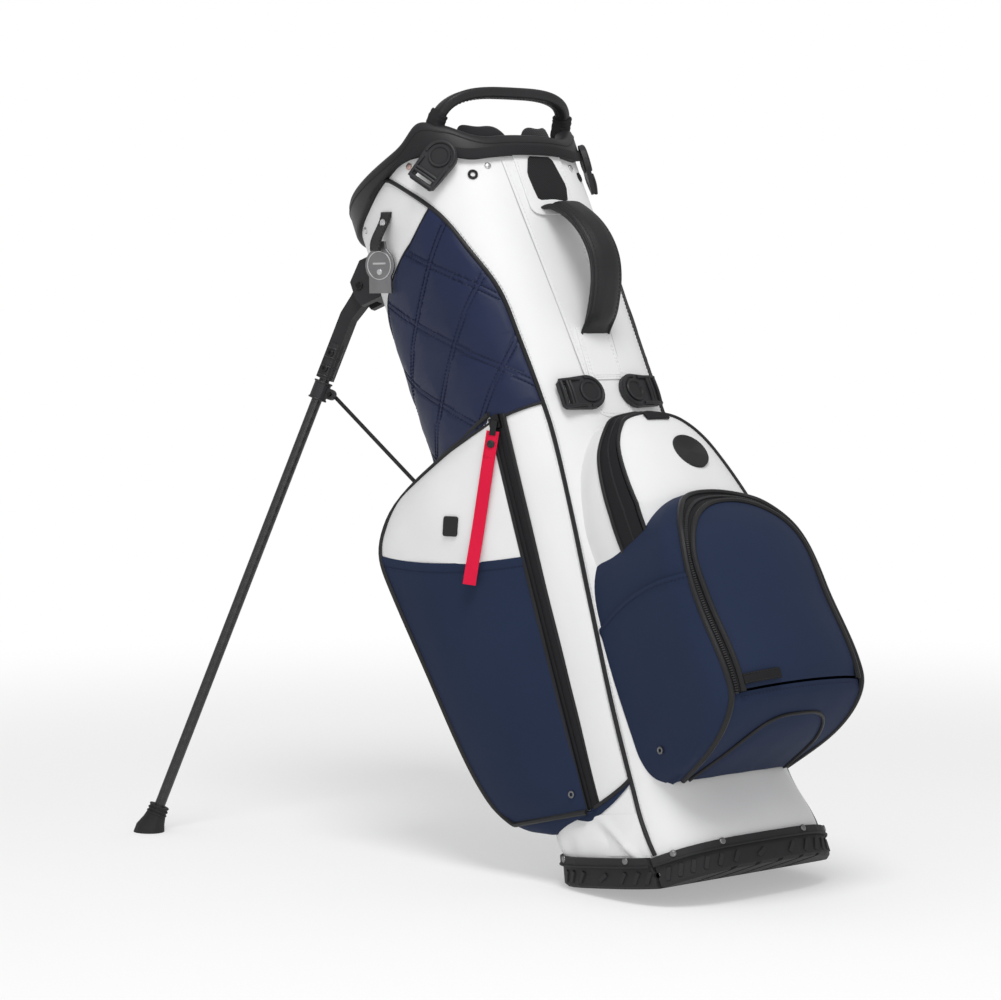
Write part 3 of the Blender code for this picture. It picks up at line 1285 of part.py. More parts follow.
make_shell()
make_base()
make_collar()
make_dividers()
make_stays()
make_grab_handle()
make_carry_handle()
make_ball_pocket()
make_upper_pocket()
make_hip_pad()
for place, hand in (("near", -1), ("far", 1)):
    make_side_pocket(place, hand)
    make_zip(place, hand)
LEGS = [Leg("near", -1), Leg("far", 1)]
for each in LEGS:
    make_bracket(each)
    make_arm(each)
    make_tube(each)
    make_clamp(each)
    make_foot(each)
    make_rod(each)
    make_link(each)
make_lift_wire(LEGS)
COLLAR_FACE = add_cutter("collar_face", loft([collar_ring(COLLAR_PROUD + SEAT_GAP, height) for height in
                                             (COLLAR_FOOT - CLIP_TAIL, COLLAR_SPINE_RIM + CLIP_TAIL)]), BAG)
for place, hand in (("near", -1), ("far", 1)):
    corner = hand * math.radians(CLIP_TOP_ANGLE_DEG)
    make_clip("top_" + place, collar_frame(corner), COLLAR_FACE, 90 + hand * 55)
    centre = spine_angle(CLIP_MID_HEIGHT, hand * CLIP_MID_Y)
    make_clip("mid_" + place, surface_frame(CLIP_MID_HEIGHT, centre), ENVELOPE, 90 + hand * 90)
make_tag()
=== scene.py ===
"""Golf stand bag: the looks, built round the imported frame."""

import math

import bmesh
import bpy
import numpy as np
from mathutils import Matrix, Vector, noise


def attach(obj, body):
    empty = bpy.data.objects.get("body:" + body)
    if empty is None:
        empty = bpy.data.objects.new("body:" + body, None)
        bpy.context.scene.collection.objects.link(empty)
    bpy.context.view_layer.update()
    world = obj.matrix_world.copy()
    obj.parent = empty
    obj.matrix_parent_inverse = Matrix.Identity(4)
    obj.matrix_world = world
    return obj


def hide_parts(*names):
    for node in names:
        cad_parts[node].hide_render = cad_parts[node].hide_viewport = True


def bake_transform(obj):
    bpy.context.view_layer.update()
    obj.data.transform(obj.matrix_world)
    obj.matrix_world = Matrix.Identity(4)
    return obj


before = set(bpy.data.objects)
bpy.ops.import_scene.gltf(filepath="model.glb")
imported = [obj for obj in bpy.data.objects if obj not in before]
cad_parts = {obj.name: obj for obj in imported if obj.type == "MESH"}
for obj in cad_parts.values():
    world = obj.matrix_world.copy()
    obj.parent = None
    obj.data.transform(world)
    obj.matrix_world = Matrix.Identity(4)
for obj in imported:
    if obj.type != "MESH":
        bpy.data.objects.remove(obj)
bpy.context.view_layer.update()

# Measures in metres and degrees; most are the part's own

GAP = 0.0003
LEAN_DEG = 26.5
FLAP_TILT_DEG = 7.5
AXIS_HEIGHT = 0.020
HINGE_HEIGHT = 0.0345
HINGE_DROP = 0.0145
HINGE_SPINE = 0.083
BASE = (0.124, 0.102, 0.1385, 3.2)
WAIST = (0.114, 0.090, 0.128, 3.2)
MOUTH = (0.112, 0.149, 0.126, 2.4)
WAIST_HEIGHT = 0.075
HIP_HEIGHT = 0.300
HIP_LEG = 0.1135
BODY_HEIGHT = 0.848
FABRIC = 0.004
FLOOR_TOP = 0.008 - HINGE_DROP
RIM = 0.034 - HINGE_DROP
CUP_OUT = 0.0033
BAND_OUT = 0.0058
SKIRT_GAP = 0.002
SKIRT_ARC = (61, 299)
SKIN_UNDER_COLLAR = 0.008
COLLAR_SPINE_RIM = 0.864
COLLAR_SIDE_LIFT = 0.022
COLLAR_PROUD = 0.0065
COLLAR_INSIDE = 0.0143
GRAB_RADIUS = 0.0065
GRAB_RISE = 0.031
GRAB_REACH = 0.040
GRAB_INSET = 0.0075
GRAB_ROOT_DEG = 52
CARRY_FOOT = 0.605
CARRY_TOP = 0.765
CARRY_HALF = 0.0205
CARRY_SHIFT = 0.006
CARRY_THICKNESS = 0.013
CARRY_STANDOFF = 0.050
BALL_FOOT = 0.066
BALL_HEAD = 0.366
BALL_REACH = 0.252
BALL_HALF_WIDTH = 0.105
BALL_CROWN = 0.014
BALL_SHOULDER = 0.228
BALL_ARCH = 0.1365
DROP_FOOT = 0.120
DROP_TOP = 0.344
DROP_WIDE = 0.088
DROP_ROUND = 0.084
EDGE_POINTS = 161
UPPER_FOOT = 0.3666
UPPER_HEAD = 0.498
UPPER_REACH = 0.196
UPPER_LOW = 0.300
UPPER_TOP = 0.4850
UPPER_SHIFT = 0.005
SIDE_FOOT = 0.030
SIDE_HEAD = 0.575
SIDE_EDGE = (0.150, 0.165)
SIDE_CORNER = (0.0734, 0.1024)
SIDE_CROWN = 0.012
SIDE_FLOOR = 0.0748
SIDE_FLOOR_SLOPE = 0.218
ZIP_HEAD_X = 0.052
ZIP_FOOT_X = 0.020
ZIP_HEAD = 0.540
ZIP_FOOT = 0.100
ZIP_HALF_WIDTH = 0.007
ZIP_PROUD = 0.003
SLIDER_LENGTH = 0.016
TOOTH_PITCH = 0.0024
STITCH = (0.0034, 0.0005)
FINE_STITCH = (0.003, 0.0004)
STITCH_STEP = 0.0046
EDGE_STEP = 0.0048
SEAM_STEP = 0.0050
FINE_STEP = 0.004
RIBBON_WIDTH = 0.0148
RIBBON_LENGTH = 0.176
PAD_FOOT = 0.330
PAD_HEAD = 0.600
PAD_HALF_WIDTH = 0.044
PAD_THICKNESS = 0.012
CLIP_MID_HEIGHT = 0.530
CLIP_MID_Y = 0.034
CLIP_TOP_DEG = 52
TAG_HEIGHT = 0.806
TAG_DEG = 99
TAG_CENTRE = -0.036
TAG_FACE = 0.0018
TAG_SNAP = 0.013
TAG_TURN_DEG = 22
LEG_HINGE = (0.145, 0.085, 0.790)
LEG_PLANE_DEG = 25.6
LEG_OPEN_DEG = 42.6
TUBE_OFFSET = 0.008
TUBE_RADIUS = 0.0065
UP = Vector((0, 0, 1))
SPINEWARD = Vector((1, 0, 0))
SIDES = ((-1, "near"), (1, "far"))

LEAN = math.radians(LEAN_DEG)
FLAP_TILT = math.radians(FLAP_TILT_DEG)
FOLD = LEAN - FLAP_TILT
FLAP_END = -(HINGE_SPINE + BASE[1])
STRIP = (HINGE_HEIGHT - HINGE_DROP * math.cos(FLAP_TILT)) / math.sin(FLAP_TILT)
HINGE_X = (STRIP - FLAP_END) / 2 * math.cos(FLAP_TILT) - HINGE_DROP * math.sin(FLAP_TILT)
HINGE_Z = (HINGE_HEIGHT - AXIS_HEIGHT - HINGE_SPINE * math.sin(LEAN)) / math.cos(LEAN)
FLAP = Matrix.Translation((HINGE_X, 0, HINGE_HEIGHT)) @ Matrix.Rotation(-FLAP_TILT, 4, "Y")
HINGE = Matrix.Translation((HINGE_SPINE, 0, HINGE_Z))
BAG = FLAP @ Matrix.Rotation(-FOLD, 4, "Y") @ HINGE.inverted()
FLAP_IN_BAG = BAG.inverted() @ FLAP
WORLD_DOWN = BAG.to_3x3().inverted() @ -UP

# Lines on the body, as degrees from the spine and height or the other way round

SIDE_SEAM = ((92, 0.867), (88.5, 0.855), (82.5, 0.8375), (64.5, 0.785), (53, 0.730), (42.5, 0.6725), (39.5, 0.6075),
             (37.5, 0.5375), (37.5, 0.480), (42, 0.3825), (48.5, 0.2775), (55.5, 0.1625), (59.5, 0.060),
             (58.5, 0.020), (57.0, -0.0035))
QUILT_RIGHT = ((0.525, 38.5), (0.5375, 38.5), (0.6075, 40.5), (0.6725, 43.5), (0.730, 54), (0.770, 60.5),
               (0.800, 68.5))
QUILT_LEFT = ((0.525, 151), (0.600, 151), (0.660, 149), (0.700, 140), (0.735, 120), (0.757, 102), (0.780, 85),
              (0.800, 69.5))
QUILT_FOOT = 0.527
QUILT_TIP = 0.806
QUILT_COLUMNS = 150
QUILT_PITCH = 0.073
QUILT_TWIN = 0.0030
QUILT_FAMILIES = ((1, -0.5047), (-1, 0.5385))
SIDE_RUNS = {}
FOOT_LINE = ((0, 0.836), (32, 0.838), (50, 0.852), (66, 0.864), (82, 0.866), (95, 0.860), (112, 0.847), (140, 0.842),
             (180, 0.842))
POCKET_BAND = ((58, 0.086), (66, 0.081), (76, 0.0765), (92, 0.0725))

# Shapes of the pockets and the top badge

SIDE_STATIONS = ((0.0, 0.30), (0.13, 0.52), (0.17, 0.66), (0.28, 0.81), (0.5, 0.96), (0.72, 1.10),
                 (0.77, 1.10), (0.81, 1.01), (0.87, 0.73), (0.92, 0.24), (1.0, 0.05))
BALL_RISE = ((0.0, 0.46), (0.04, 0.73), (0.11, 0.92), (0.20, 1.0), (0.52, 0.97), (0.77, 0.95), (0.92, 0.87),
             (1.0, 0.77))
BALL_WIDE = ((0.0, 0.80), (0.04, 0.93), (0.11, 0.99), (0.20, 1.0), (0.52, 0.99), (0.77, 0.94), (0.92, 0.83),
             (1.0, 0.72))
UPPER_RISE = ((0.0, 1.0), (0.35, 0.935), (0.72, 0.86), (0.90, 0.80), (1.0, 0.745))
UPPER_WIDE = ((0.300, 0.083), (0.340, 0.085), (0.370, 0.0845), (0.415, 0.077), (0.447, 0.066), (0.470, 0.048),
              (0.480, 0.031), (UPPER_TOP, 0.0))
TOP_BADGE = ((-0.0160, 0.0295), (0.0130, 0.0295), (0.0180, 0.0250), (0.0265, -0.0050), (0.0265, -0.0120),
             (0.0220, -0.0265), (0.0180, -0.0285), (-0.0200, -0.0285), (-0.0240, -0.0260), (-0.0270, 0.0030),
             (-0.0265, 0.0090), (-0.0195, 0.0265))


# Body outline in the bag's frame: x to the spine, y to the far side, z along the body

def mix(first, second, share):
    return first + (second - first) * share


def spread(first, last, count):
    """Even values from first to last, count steps apart."""
    return [mix(first, last, k / count) for k in range(count + 1)]


def ease(share):
    share = min(max(share, 0), 1)
    return share * share * (3 - 2 * share)


def bump(value, centre, width):
    return math.exp(-((value - centre) / width) ** 2)


def half_sizes(height):
    if height < WAIST_HEIGHT:
        share = ease(height / WAIST_HEIGHT)
        return [mix(a, b, share) for a, b in zip(BASE, WAIST)]
    share = (height - WAIST_HEIGHT) / (BODY_HEIGHT - WAIST_HEIGHT)
    sizes = [mix(a, b, share) for a, b in zip(WAIST, MOUTH)]
    if height < HIP_HEIGHT:
        sizes[1] = mix(WAIST[1], HIP_LEG, (height - WAIST_HEIGHT) / (HIP_HEIGHT - WAIST_HEIGHT))
    else:
        sizes[1] = mix(HIP_LEG, MOUTH[1], (height - HIP_HEIGHT) / (BODY_HEIGHT - HIP_HEIGHT))
    return sizes


def outline_point(height, angle, offset=0.0):
    spine, leg, side, power = half_sizes(height)
    c, s = math.cos(angle), math.sin(angle)
    reach = (spine if c > 0 else leg) + offset
    x = math.copysign(abs(c) ** (2 / power), c) * reach
    y = math.copysign(abs(s) ** (2 / power), s) * (side + offset)
    return Vector((x, y, height))


def on_body(degrees, height, offset=0.0):
    return outline_point(height, math.radians(degrees), offset)


def body_out(degrees, height):
    around = on_body(degrees + 1, height) - on_body(degrees - 1, height)
    rise = on_body(degrees, height + 0.01) - on_body(degrees, height - 0.01)
    return around.cross(rise).normalized()


def side_reach(height, x):
    spine, leg, side, power = half_sizes(height)
    share = abs(x) / (spine if x > 0 else leg)
    return side * (1 - min(share, 1) ** power) ** (1 / power)


def spine_degrees(height, y):
    side, power = half_sizes(height)[2:]
    return math.degrees(math.copysign(math.asin(min(abs(y) / side, 1) ** (power / 2)), y))


def smooth_value(stations, place):
    """A smooth curve through stations of place and value."""
    places = [station[0] for station in stations]
    values = [station[1] for station in stations]
    last = len(stations) - 1
    slopes = []
    for k in range(last + 1):
        low, high = max(k - 1, 0), min(k + 1, last)
        slopes.append((values[high] - values[low]) / (places[high] - places[low]))
    place = min(max(place, places[0]), places[-1])
    k = max(i for i in range(last) if places[i] <= place)
    span = places[k + 1] - places[k]
    t = (place - places[k]) / span
    ends = values[k] * (1 + 2 * t) * (1 - t) ** 2 + values[k + 1] * t * t * (3 - 2 * t)
    return ends + span * (slopes[k] * t * (1 - t) ** 2 - slopes[k + 1] * t * t * (1 - t))


def smooth_path(points, steps):
    """A smooth run of points through the given ones."""
    points = [Vector(point) for point in points]
    padded = [points[0] * 2 - points[1]] + points + [points[-1] * 2 - points[-2]]
    run = []
    for k in range(1, len(padded) - 2):
        a, b, c, d = padded[k - 1:k + 3]
        for i in range(steps):
            t = i / steps
            run.append(0.5 * (2 * b + (c - a) * t + (2 * a - 5 * b + 4 * c - d) * t * t
                              + (3 * b - a - 3 * c + d) * t ** 3))
    return run + [points[-1]]


# Shader values and finishes

BUMP_STRENGTH = 0.6
TOW = 0.0032
BRUSHED = (0.3, 0.2, 0.93)


class Value:
    """A shader socket: arithmetic on it adds math nodes."""

    def __init__(self, graph, socket):
        self.graph = graph
        self.socket = socket

    def math(self, operation, *others, swap=False):
        terms = (*others, self) if swap else (self, *others)
        return self.graph.node("Math", {"operation": operation}, dict(enumerate(terms)))

    def __add__(self, other):
        return self.math("ADD", other)

    def __sub__(self, other):
        return self.math("SUBTRACT", other)

    def __mul__(self, other):
        return self.math("MULTIPLY", other)

    def __truediv__(self, other):
        return self.math("DIVIDE", other)

    def __rsub__(self, other):
        return self.math("SUBTRACT", other, swap=True)

    __radd__ = __add__
    __rmul__ = __mul__


class Graph:
    """One material's nodes."""

    def __init__(self, name):
        self.material = bpy.data.materials.new(name)
        self.material.use_nodes = True
        self.tree = self.material.node_tree
        self.tree.nodes.clear()
        self.place = self.node("TexCoord", out="Object")

    def node(self, kind, settings=None, values=None, out=0):
        node = self.tree.nodes.new("ShaderNode" + kind)
        for key, setting in (settings or {}).items():
            setattr(node, key, setting)
        for key, value in (values or {}).items():
            if isinstance(value, Value):
                self.tree.links.new(value.socket, node.inputs[key])
            else:
                node.inputs[key].default_value = value
        return Value(self, node.outputs[out]) if node.outputs else None

    def noise(self, scale, detail=3.0):
        return self.node("TexNoise", None, {"Vector": self.place, "Scale": scale, "Detail": detail})

    def cell_edges(self, scale):
        settings = {"feature": "DISTANCE_TO_EDGE"}
        return self.node("TexVoronoi", settings, {"Vector": self.place, "Scale": scale}, "Distance")

    def along(self, axis, scale):
        """A sine across the surface along an axis, 0 to 1."""
        dot = self.node("VectorMath", {"operation": "DOT_PRODUCT"}, {0: self.place, 1: tuple(axis)}, "Value")
        return (dot * scale).math("SINE") * 0.5 + 0.5

    def colour(self, share, first, second):
        return self.node("Mix", {"data_type": "RGBA"}, {0: share, 6: (*first, 1), 7: (*second, 1)}, 2)

    def surface(self, base, roughness, height, depth, metallic=0.0, **constants):
        relief = self.node("Bump", None, {"Strength": BUMP_STRENGTH, "Distance": depth, "Height": height})
        values = {"Base Color": base, "Roughness": roughness, "Metallic": metallic, "Normal": relief}
        values.update({key.replace("_", " "): value for key, value in constants.items()})
        shader = self.node("BsdfPrincipled", None, values)
        self.node("OutputMaterial", None, {"Surface": shader})
        return self.material


def leather(name, dark, light, roughness, scale, depth):
    """Grained leather: small cells, finer wrinkles between them and a broad change of gloss."""
    g = Graph(name)
    grain = g.cell_edges(scale).math("MINIMUM", 0.3) * 2 + g.noise(scale * 2.5) * 0.5
    broad = g.noise(11.0, 4.0)
    return g.surface(g.colour(broad, dark, light), roughness + broad * 0.16 - grain * 0.04, grain, depth,
                     Specular_IOR_Level=0.22)


def woven(name, dark, light, roughness, pitch, depth, nap=0.0, tint=(1, 1, 1)):
    """Close woven cloth: two crossed sets of yarns with uneven dye and fuzz."""
    g = Graph(name)
    turn = math.tau / pitch
    warp = g.along((0.8, 0.6, 0), turn)
    weft = g.along((0, 0.25, 0.97), turn)
    yarn = warp * weft + (1 - warp) * (1 - weft)
    fuzz = g.noise(1400.0)
    share = yarn * 0.35 + g.noise(7.0, 5.0) * 0.45 + fuzz * 0.2
    return g.surface(g.colour(share, dark, light), roughness + fuzz * 0.12, yarn * 0.7 + fuzz * 0.5, depth,
                     Sheen_Weight=nap, Sheen_Tint=(*tint, 1), Specular_IOR_Level=0.12)


def moulded(name, dark, light, roughness, scale, depth, worn=0.0):
    """Moulded plastic or rubber: fine spark texture, slight flow marks and paler worn edges."""
    g = Graph(name)
    spark = g.noise(scale, 4.0)
    flow = g.noise(16.0, 3.0)
    edge = g.node("NewGeometry", out="Pointiness").math("SUBTRACT", 0.52).math("MULTIPLY", 9.0)
    edge = edge.math("MAXIMUM", 0.0).math("MINIMUM", 1.0) * worn
    return g.surface(g.colour(flow * 0.6 + edge, dark, light), roughness + spark * 0.14 + flow * 0.08, spark, depth,
                     Specular_IOR_Level=0.25)


def metal(name, dark, light, roughness, axis):
    """Brushed metal: fine lines one way and a few duller patches."""
    g = Graph(name)
    lines = g.along(axis, 9000.0) * 0.5 + g.noise(900.0) * 0.5
    patch = g.noise(60.0, 4.0)
    return g.surface(g.colour(patch, dark, light), roughness + lines * 0.10 + patch * 0.10, lines, 0.0001,
                     metallic=0.95)


def twill(name, origin, axis, radius):
    """Carbon twill round a tube: a diagonal weave of glossy tows under clear coat."""
    g = Graph(name)
    first = axis.orthogonal().normalized()
    second = axis.cross(first)
    local = g.node("VectorMath", {"operation": "SUBTRACT"}, {0: g.place, 1: tuple(origin)})

    def part(direction):
        return g.node("VectorMath", {"operation": "DOT_PRODUCT"}, {0: local, 1: tuple(direction)}, "Value")

    along = part(axis) / TOW
    turn = part(first).math("ARCTAN2", part(second)) * (radius / TOW)
    step = turn.math("FLOOR")
    shift = ((along.math("FLOOR") + step) / 4).math("FRACT")
    over = shift.math("LESS_THAN", 0.5)
    tow = over * (along * math.pi).math("SINE").math("ABSOLUTE") \
        + (1 - over) * (turn * math.pi).math("SINE").math("ABSOLUTE")
    share = tow * 0.45 + over * 0.4 + g.noise(30.0) * 0.15
    return g.surface(g.colour(share, (0.004, 0.004, 0.005), (0.020, 0.020, 0.022)), 0.38 + over * 0.14, tow, 0.0003,
                     Coat_Weight=0.2, Coat_Roughness=0.25)


WHITE = leather("white_leatherette", (0.70, 0.70, 0.705), (0.765, 0.765, 0.765), 0.36, 750.0, 0.00016)
NAVY = woven("navy_fabric", (0.009, 0.016, 0.038), (0.019, 0.031, 0.070), 0.62, 0.0013, 0.0003, 0.03,
             (0.55, 0.50, 0.75))
QUILT = leather("navy_quilt", (0.008, 0.013, 0.038), (0.016, 0.024, 0.068), 0.42, 900.0, 0.00015)
PIPING = leather("black_piping", (0.010, 0.010, 0.011), (0.022, 0.022, 0.024), 0.38, 900.0, 0.0001)
LEATHER = leather("black_leather", (0.011, 0.011, 0.012), (0.026, 0.026, 0.028), 0.36, 620.0, 0.0002)
PLASTIC = moulded("black_plastic", (0.010, 0.010, 0.011), (0.034, 0.034, 0.037), 0.34, 1500.0, 0.0001, 0.5)
RUBBER = moulded("black_rubber", (0.012, 0.012, 0.013), (0.030, 0.030, 0.032), 0.52, 900.0, 0.0003, 0.3)
KNURL = woven("black_knurl", (0.006, 0.006, 0.007), (0.030, 0.030, 0.032), 0.55, 0.0026, 0.0008)
FOAM = woven("black_foam", (0.008, 0.008, 0.009), (0.030, 0.030, 0.033), 0.80, 0.0030, 0.0008, 0.2)
TAPE = woven("black_tape", (0.007, 0.007, 0.008), (0.020, 0.020, 0.022), 0.55, 0.0011, 0.0003)
LINING = woven("grey_cloth", (0.030, 0.030, 0.033), (0.075, 0.075, 0.080), 0.85, 0.0018, 0.0003, 0.1)
FIBRE = moulded("grey_fibre", (0.10, 0.10, 0.10), (0.20, 0.20, 0.20), 0.40, 700.0, 0.0001)
DARK_STEEL = metal("dark_steel", (0.020, 0.020, 0.021), (0.040, 0.040, 0.042), 0.32, BRUSHED)
STEEL = metal("steel", (0.42, 0.42, 0.43), (0.66, 0.66, 0.67), 0.20, BRUSHED)
GUNMETAL = metal("gunmetal", (0.14, 0.14, 0.14), (0.26, 0.26, 0.265), 0.26, BRUSHED)
COPPER = metal("copper", (0.42, 0.28, 0.24), (0.62, 0.45, 0.40), 0.25, BRUSHED)
TAG = metal("grey_metal", (0.16, 0.16, 0.165), (0.27, 0.27, 0.275), 0.38, (0.9, 0.3, 0.1))
RED = woven("red_ribbon", (0.52, 0.004, 0.032), (0.76, 0.012, 0.060), 0.55, 0.0011, 0.0003)
THREAD_NAVY = woven("navy_thread", (0.010, 0.012, 0.030), (0.022, 0.026, 0.062), 0.6, 0.0006, 0.0001)
THREAD_WHITE = woven("white_thread", (0.68, 0.68, 0.68), (0.78, 0.78, 0.78), 0.6, 0.0006, 0.0001)
THREAD_BLACK = woven("black_thread", (0.012, 0.012, 0.012), (0.040, 0.040, 0.042), 0.6, 0.0006, 0.0001)
GREY_SEAM = woven("grey_seam", (0.38, 0.38, 0.38), (0.52, 0.52, 0.52), 0.6, 0.0008, 0.0001)

SLOTS = {"white_leatherette": (WHITE, THREAD_WHITE, GREY_SEAM), "navy_fabric": (NAVY, QUILT, THREAD_NAVY),
         "black_leather": (PIPING, LEATHER, TAPE, THREAD_BLACK), "black_plastic": (PLASTIC,),
         "black_rubber": (RUBBER, KNURL), "black_foam": (FOAM,), "grey_cloth": (LINING,),
         "steel": (DARK_STEEL, STEEL, GUNMETAL, COPPER), "grey_metal": (TAG,), "red_ribbon": (RED,)}
SLOT_OF = {material.name: slot for slot, materials in SLOTS.items() for material in materials}


# Mesh building: points in the bag's frame, finished meshes in the world's

def make(name, shape, material, body="bag", slot=None, sharp=40, inside=None):
    """One finished piece from points and faces, riding on a body of the frame."""
    points, faces = shape
    mesh = bpy.data.meshes.new(name)
    mesh.from_pydata([BAG @ Vector(point) for point in points], [], faces)
    mesh.materials.append(material)
    if inside:
        mesh.materials.append(inside)
        for k in range(len(faces) // 2, len(faces)):
            mesh.polygons[k].material_index = 1
    bm = bmesh.new()
    bm.from_mesh(mesh)
    bmesh.ops.remove_doubles(bm, verts=bm.verts, dist=1e-6)
    bmesh.ops.recalc_face_normals(bm, faces=bm.faces)
    bm.to_mesh(mesh)
    bm.free()
    mesh.shade_smooth()
    mesh.set_sharp_from_angle(angle=math.radians(sharp))
    piece = bpy.data.objects.new(name, mesh)
    bpy.context.scene.collection.objects.link(piece)
    if body:
        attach(piece, body)
    slot or SLOT_OF[material.name]
    return piece


def grid(tall, wide, place, wrap=False):
    """Rows of points from place(up, across), called with shares from 0 to 1."""
    last = wide if wrap else wide - 1
    return [[place(i / (tall - 1), k / last) for k in range(wide)] for i in range(tall)]


def cloth(name, material, thickness, tall, wide, place, **more):
    """A piece of cloth: a grid of points given a thickness."""
    return make(name, shell(grid(tall, wide, place), thickness), material, **more)


def grid_out(points, wrap=False):
    """Directions out of a grid of points, away from the bag's middle line."""
    across = np.roll(points, -1, 1) - np.roll(points, 1, 1) if wrap else np.gradient(points, axis=1)
    out = np.cross(across, np.gradient(points, axis=0))
    out /= np.maximum(np.linalg.norm(out, axis=2, keepdims=True), 1e-9)
    return -out if (out[..., :2] * points[..., :2]).sum() < 0 else out


def shell(rows, thickness, wrap=False):
    """Closed cloth from a grid of points: its face, its back a thickness below and the rims between."""
    points = np.array([[tuple(point) for point in row] for row in rows])
    tall, wide = points.shape[:2]
    count = tall * wide
    behind = points - grid_out(points, wrap) * thickness
    face = []
    for i in range(tall - 1):
        for j in range(wide if wrap else wide - 1):
            k = (j + 1) % wide
            face.append((i * wide + j, i * wide + k, (i + 1) * wide + k, (i + 1) * wide + j))
    back = [tuple(count + v for v in quad[::-1]) for quad in face]
    lines = [list(range(wide)), list(range(count - wide, count))]
    if wrap:
        lines = [line + line[:1] for line in lines]
    else:
        lines += [list(range(0, count, wide)), list(range(wide - 1, count, wide))]
    rims = [(a, b, b + count, a + count) for line in lines for a, b in zip(line, line[1:])]
    return np.concatenate([points.reshape(-1, 3), behind.reshape(-1, 3)]).tolist(), face + rims + back


def raise_grid(rows, lift):
    """Move a grid of points out of its own surface by lift(row share, column share, point)."""
    points = np.array([[tuple(point) for point in row] for row in rows])
    out = grid_out(points)
    tall, wide = points.shape[:2]
    for i in range(tall):
        for j in range(wide):
            points[i, j] += out[i, j] * lift(i / (tall - 1), j / (wide - 1), points[i, j])
    return points


def loft(rings, wrap=False):
    """Skin over rings of points, closed at both ends, or with the last ring joined to the first."""
    size = len(rings[0])
    points = [point for ring in rings for point in ring]
    faces = []
    for low in range(len(rings) if wrap else len(rings) - 1):
        high = (low + 1) % len(rings)
        for k in range(size):
            n = (k + 1) % size
            faces.append((low * size + k, low * size + n, high * size + n, high * size + k))
    if not wrap:
        faces.append(tuple(range(size))[::-1])
        faces.append(tuple(range((len(rings) - 1) * size, len(rings) * size)))
    return points, faces


def join(*shapes):
    """Several shapes as one."""
    points, faces = [], []
    for shape in shapes:
        start = len(points)
        points += list(shape[0])
        faces += [tuple(start + v for v in face) for face in shape[1]]
    return points, faces


def path_frames(points, outs=None, closed=False):
    """Along, side and out directions at each point of a path."""
    points = [Vector(point) for point in points]
    frames = []
    out = None
    last = len(points) - 1
    for k, point in enumerate(points):
        ahead = points[(k + 1) % (last + 1)] if closed else points[min(k + 1, last)]
        behind = points[k - 1] if closed or k else point
        along = (ahead - behind).normalized()
        if outs:
            out = Vector(outs[k])
        elif out is None:
            out = along.orthogonal()
        out = (out - along * out.dot(along)).normalized()
        frames.append((point, along, out.cross(along), out))
    return frames


def sweep(frames, profile, closed=False, sizes=None):
    """A profile of side and out carried along a path."""
    rings = []
    for k, (point, along, side, out) in enumerate(frames):
        size = sizes[k] if sizes else 1
        rings.append([point + side * (u * size) + out * (v * size) for u, v in profile])
    return loft(rings, wrap=closed)


def circle(radius, sides=8):
    return [(radius * math.cos(math.tau * k / sides), radius * math.sin(math.tau * k / sides)) for k in range(sides)]


def rounded(half_width, half_height, corner, steps=4):
    """A rectangle with rounded corners."""
    outline = []
    for u, v, start in ((1, 1, 0), (-1, 1, 90), (-1, -1, 180), (1, -1, 270)):
        for k in range(steps + 1):
            angle = math.radians(start + 90 * k / steps)
            outline.append((u * (half_width - corner) + corner * math.cos(angle),
                            v * (half_height - corner) + corner * math.sin(angle)))
    return outline


def tube(points, radius, outs=None, sides=8, closed=False):
    return sweep(path_frames(points, outs, closed), circle(radius, sides), closed)


def hoop(centre, radius, thickness, count, sides=6, stretch=1.0):
    """A thin level ring, stretched along x if wanted."""
    ring = [Vector(centre) + Vector((stretch * u, v, 0)) for u, v in circle(radius, count)]
    return tube(ring, thickness, [UP] * count, sides=sides, closed=True)


def turned(profile, sides, wrap=False):
    """A round shape from a profile of radius and height."""
    return loft([[Vector((u, v, height)) for u, v in circle(max(radius, 1e-5), sides)] for radius, height in profile],
                wrap)


def plate(outline, profile):
    """A flat outline given a rounded edge: a profile of inset and height from back to front."""
    middle = Vector((sum(u for u, v in outline), sum(v for u, v in outline))) / len(outline)
    rings = []
    for inset, height in profile:
        ring = []
        for u, v in outline:
            arm = Vector((u, v)) - middle
            arm *= max(1 - inset / arm.length, 0)
            ring.append(Vector((middle.x + arm.x, middle.y + arm.y, height)))
        rings.append(ring)
    return loft(rings)


def moved(shape, matrix):
    return [matrix @ Vector(point) for point in shape[0]], shape[1]


def axes(origin, x, y, z):
    matrix = Matrix.Identity(4)
    for column, vector in enumerate((x, y, z, origin)):
        for row in range(3):
            matrix[row][column] = vector[row]
    return matrix


def body_frame(degrees, height):
    """Axes on the body: x round it, y up it, z out of it."""
    out = body_out(degrees, height)
    around = (on_body(degrees + 1, height) - on_body(degrees - 1, height)).normalized()
    return axes(on_body(degrees, height), around, out.cross(around), out)


def seam(stations, offset, steps=14):
    """Points and outward directions along a line of degrees and heights on the body."""
    run = smooth_path([(degrees / 100, height, 0) for degrees, height in stations], steps)
    spots = [(on_body(p.x * 100, p.y), body_out(p.x * 100, p.y)) for p in run]
    return [point + out * offset for point, out in spots], [out for point, out in spots]


def flip(point, side):
    """A far-side point as it is, or turned over to the near side."""
    return Vector((point[0], side * point[1], point[2]))


def mirror(points, side):
    return [flip(point, side) for point in points]


def mirror_line(line, side):
    points, outs = line
    return mirror(points, side), mirror(outs, side)


def level(point):
    """The level direction from the bag's middle line to a point."""
    return Vector((point.x, point.y, 0)).normalized()


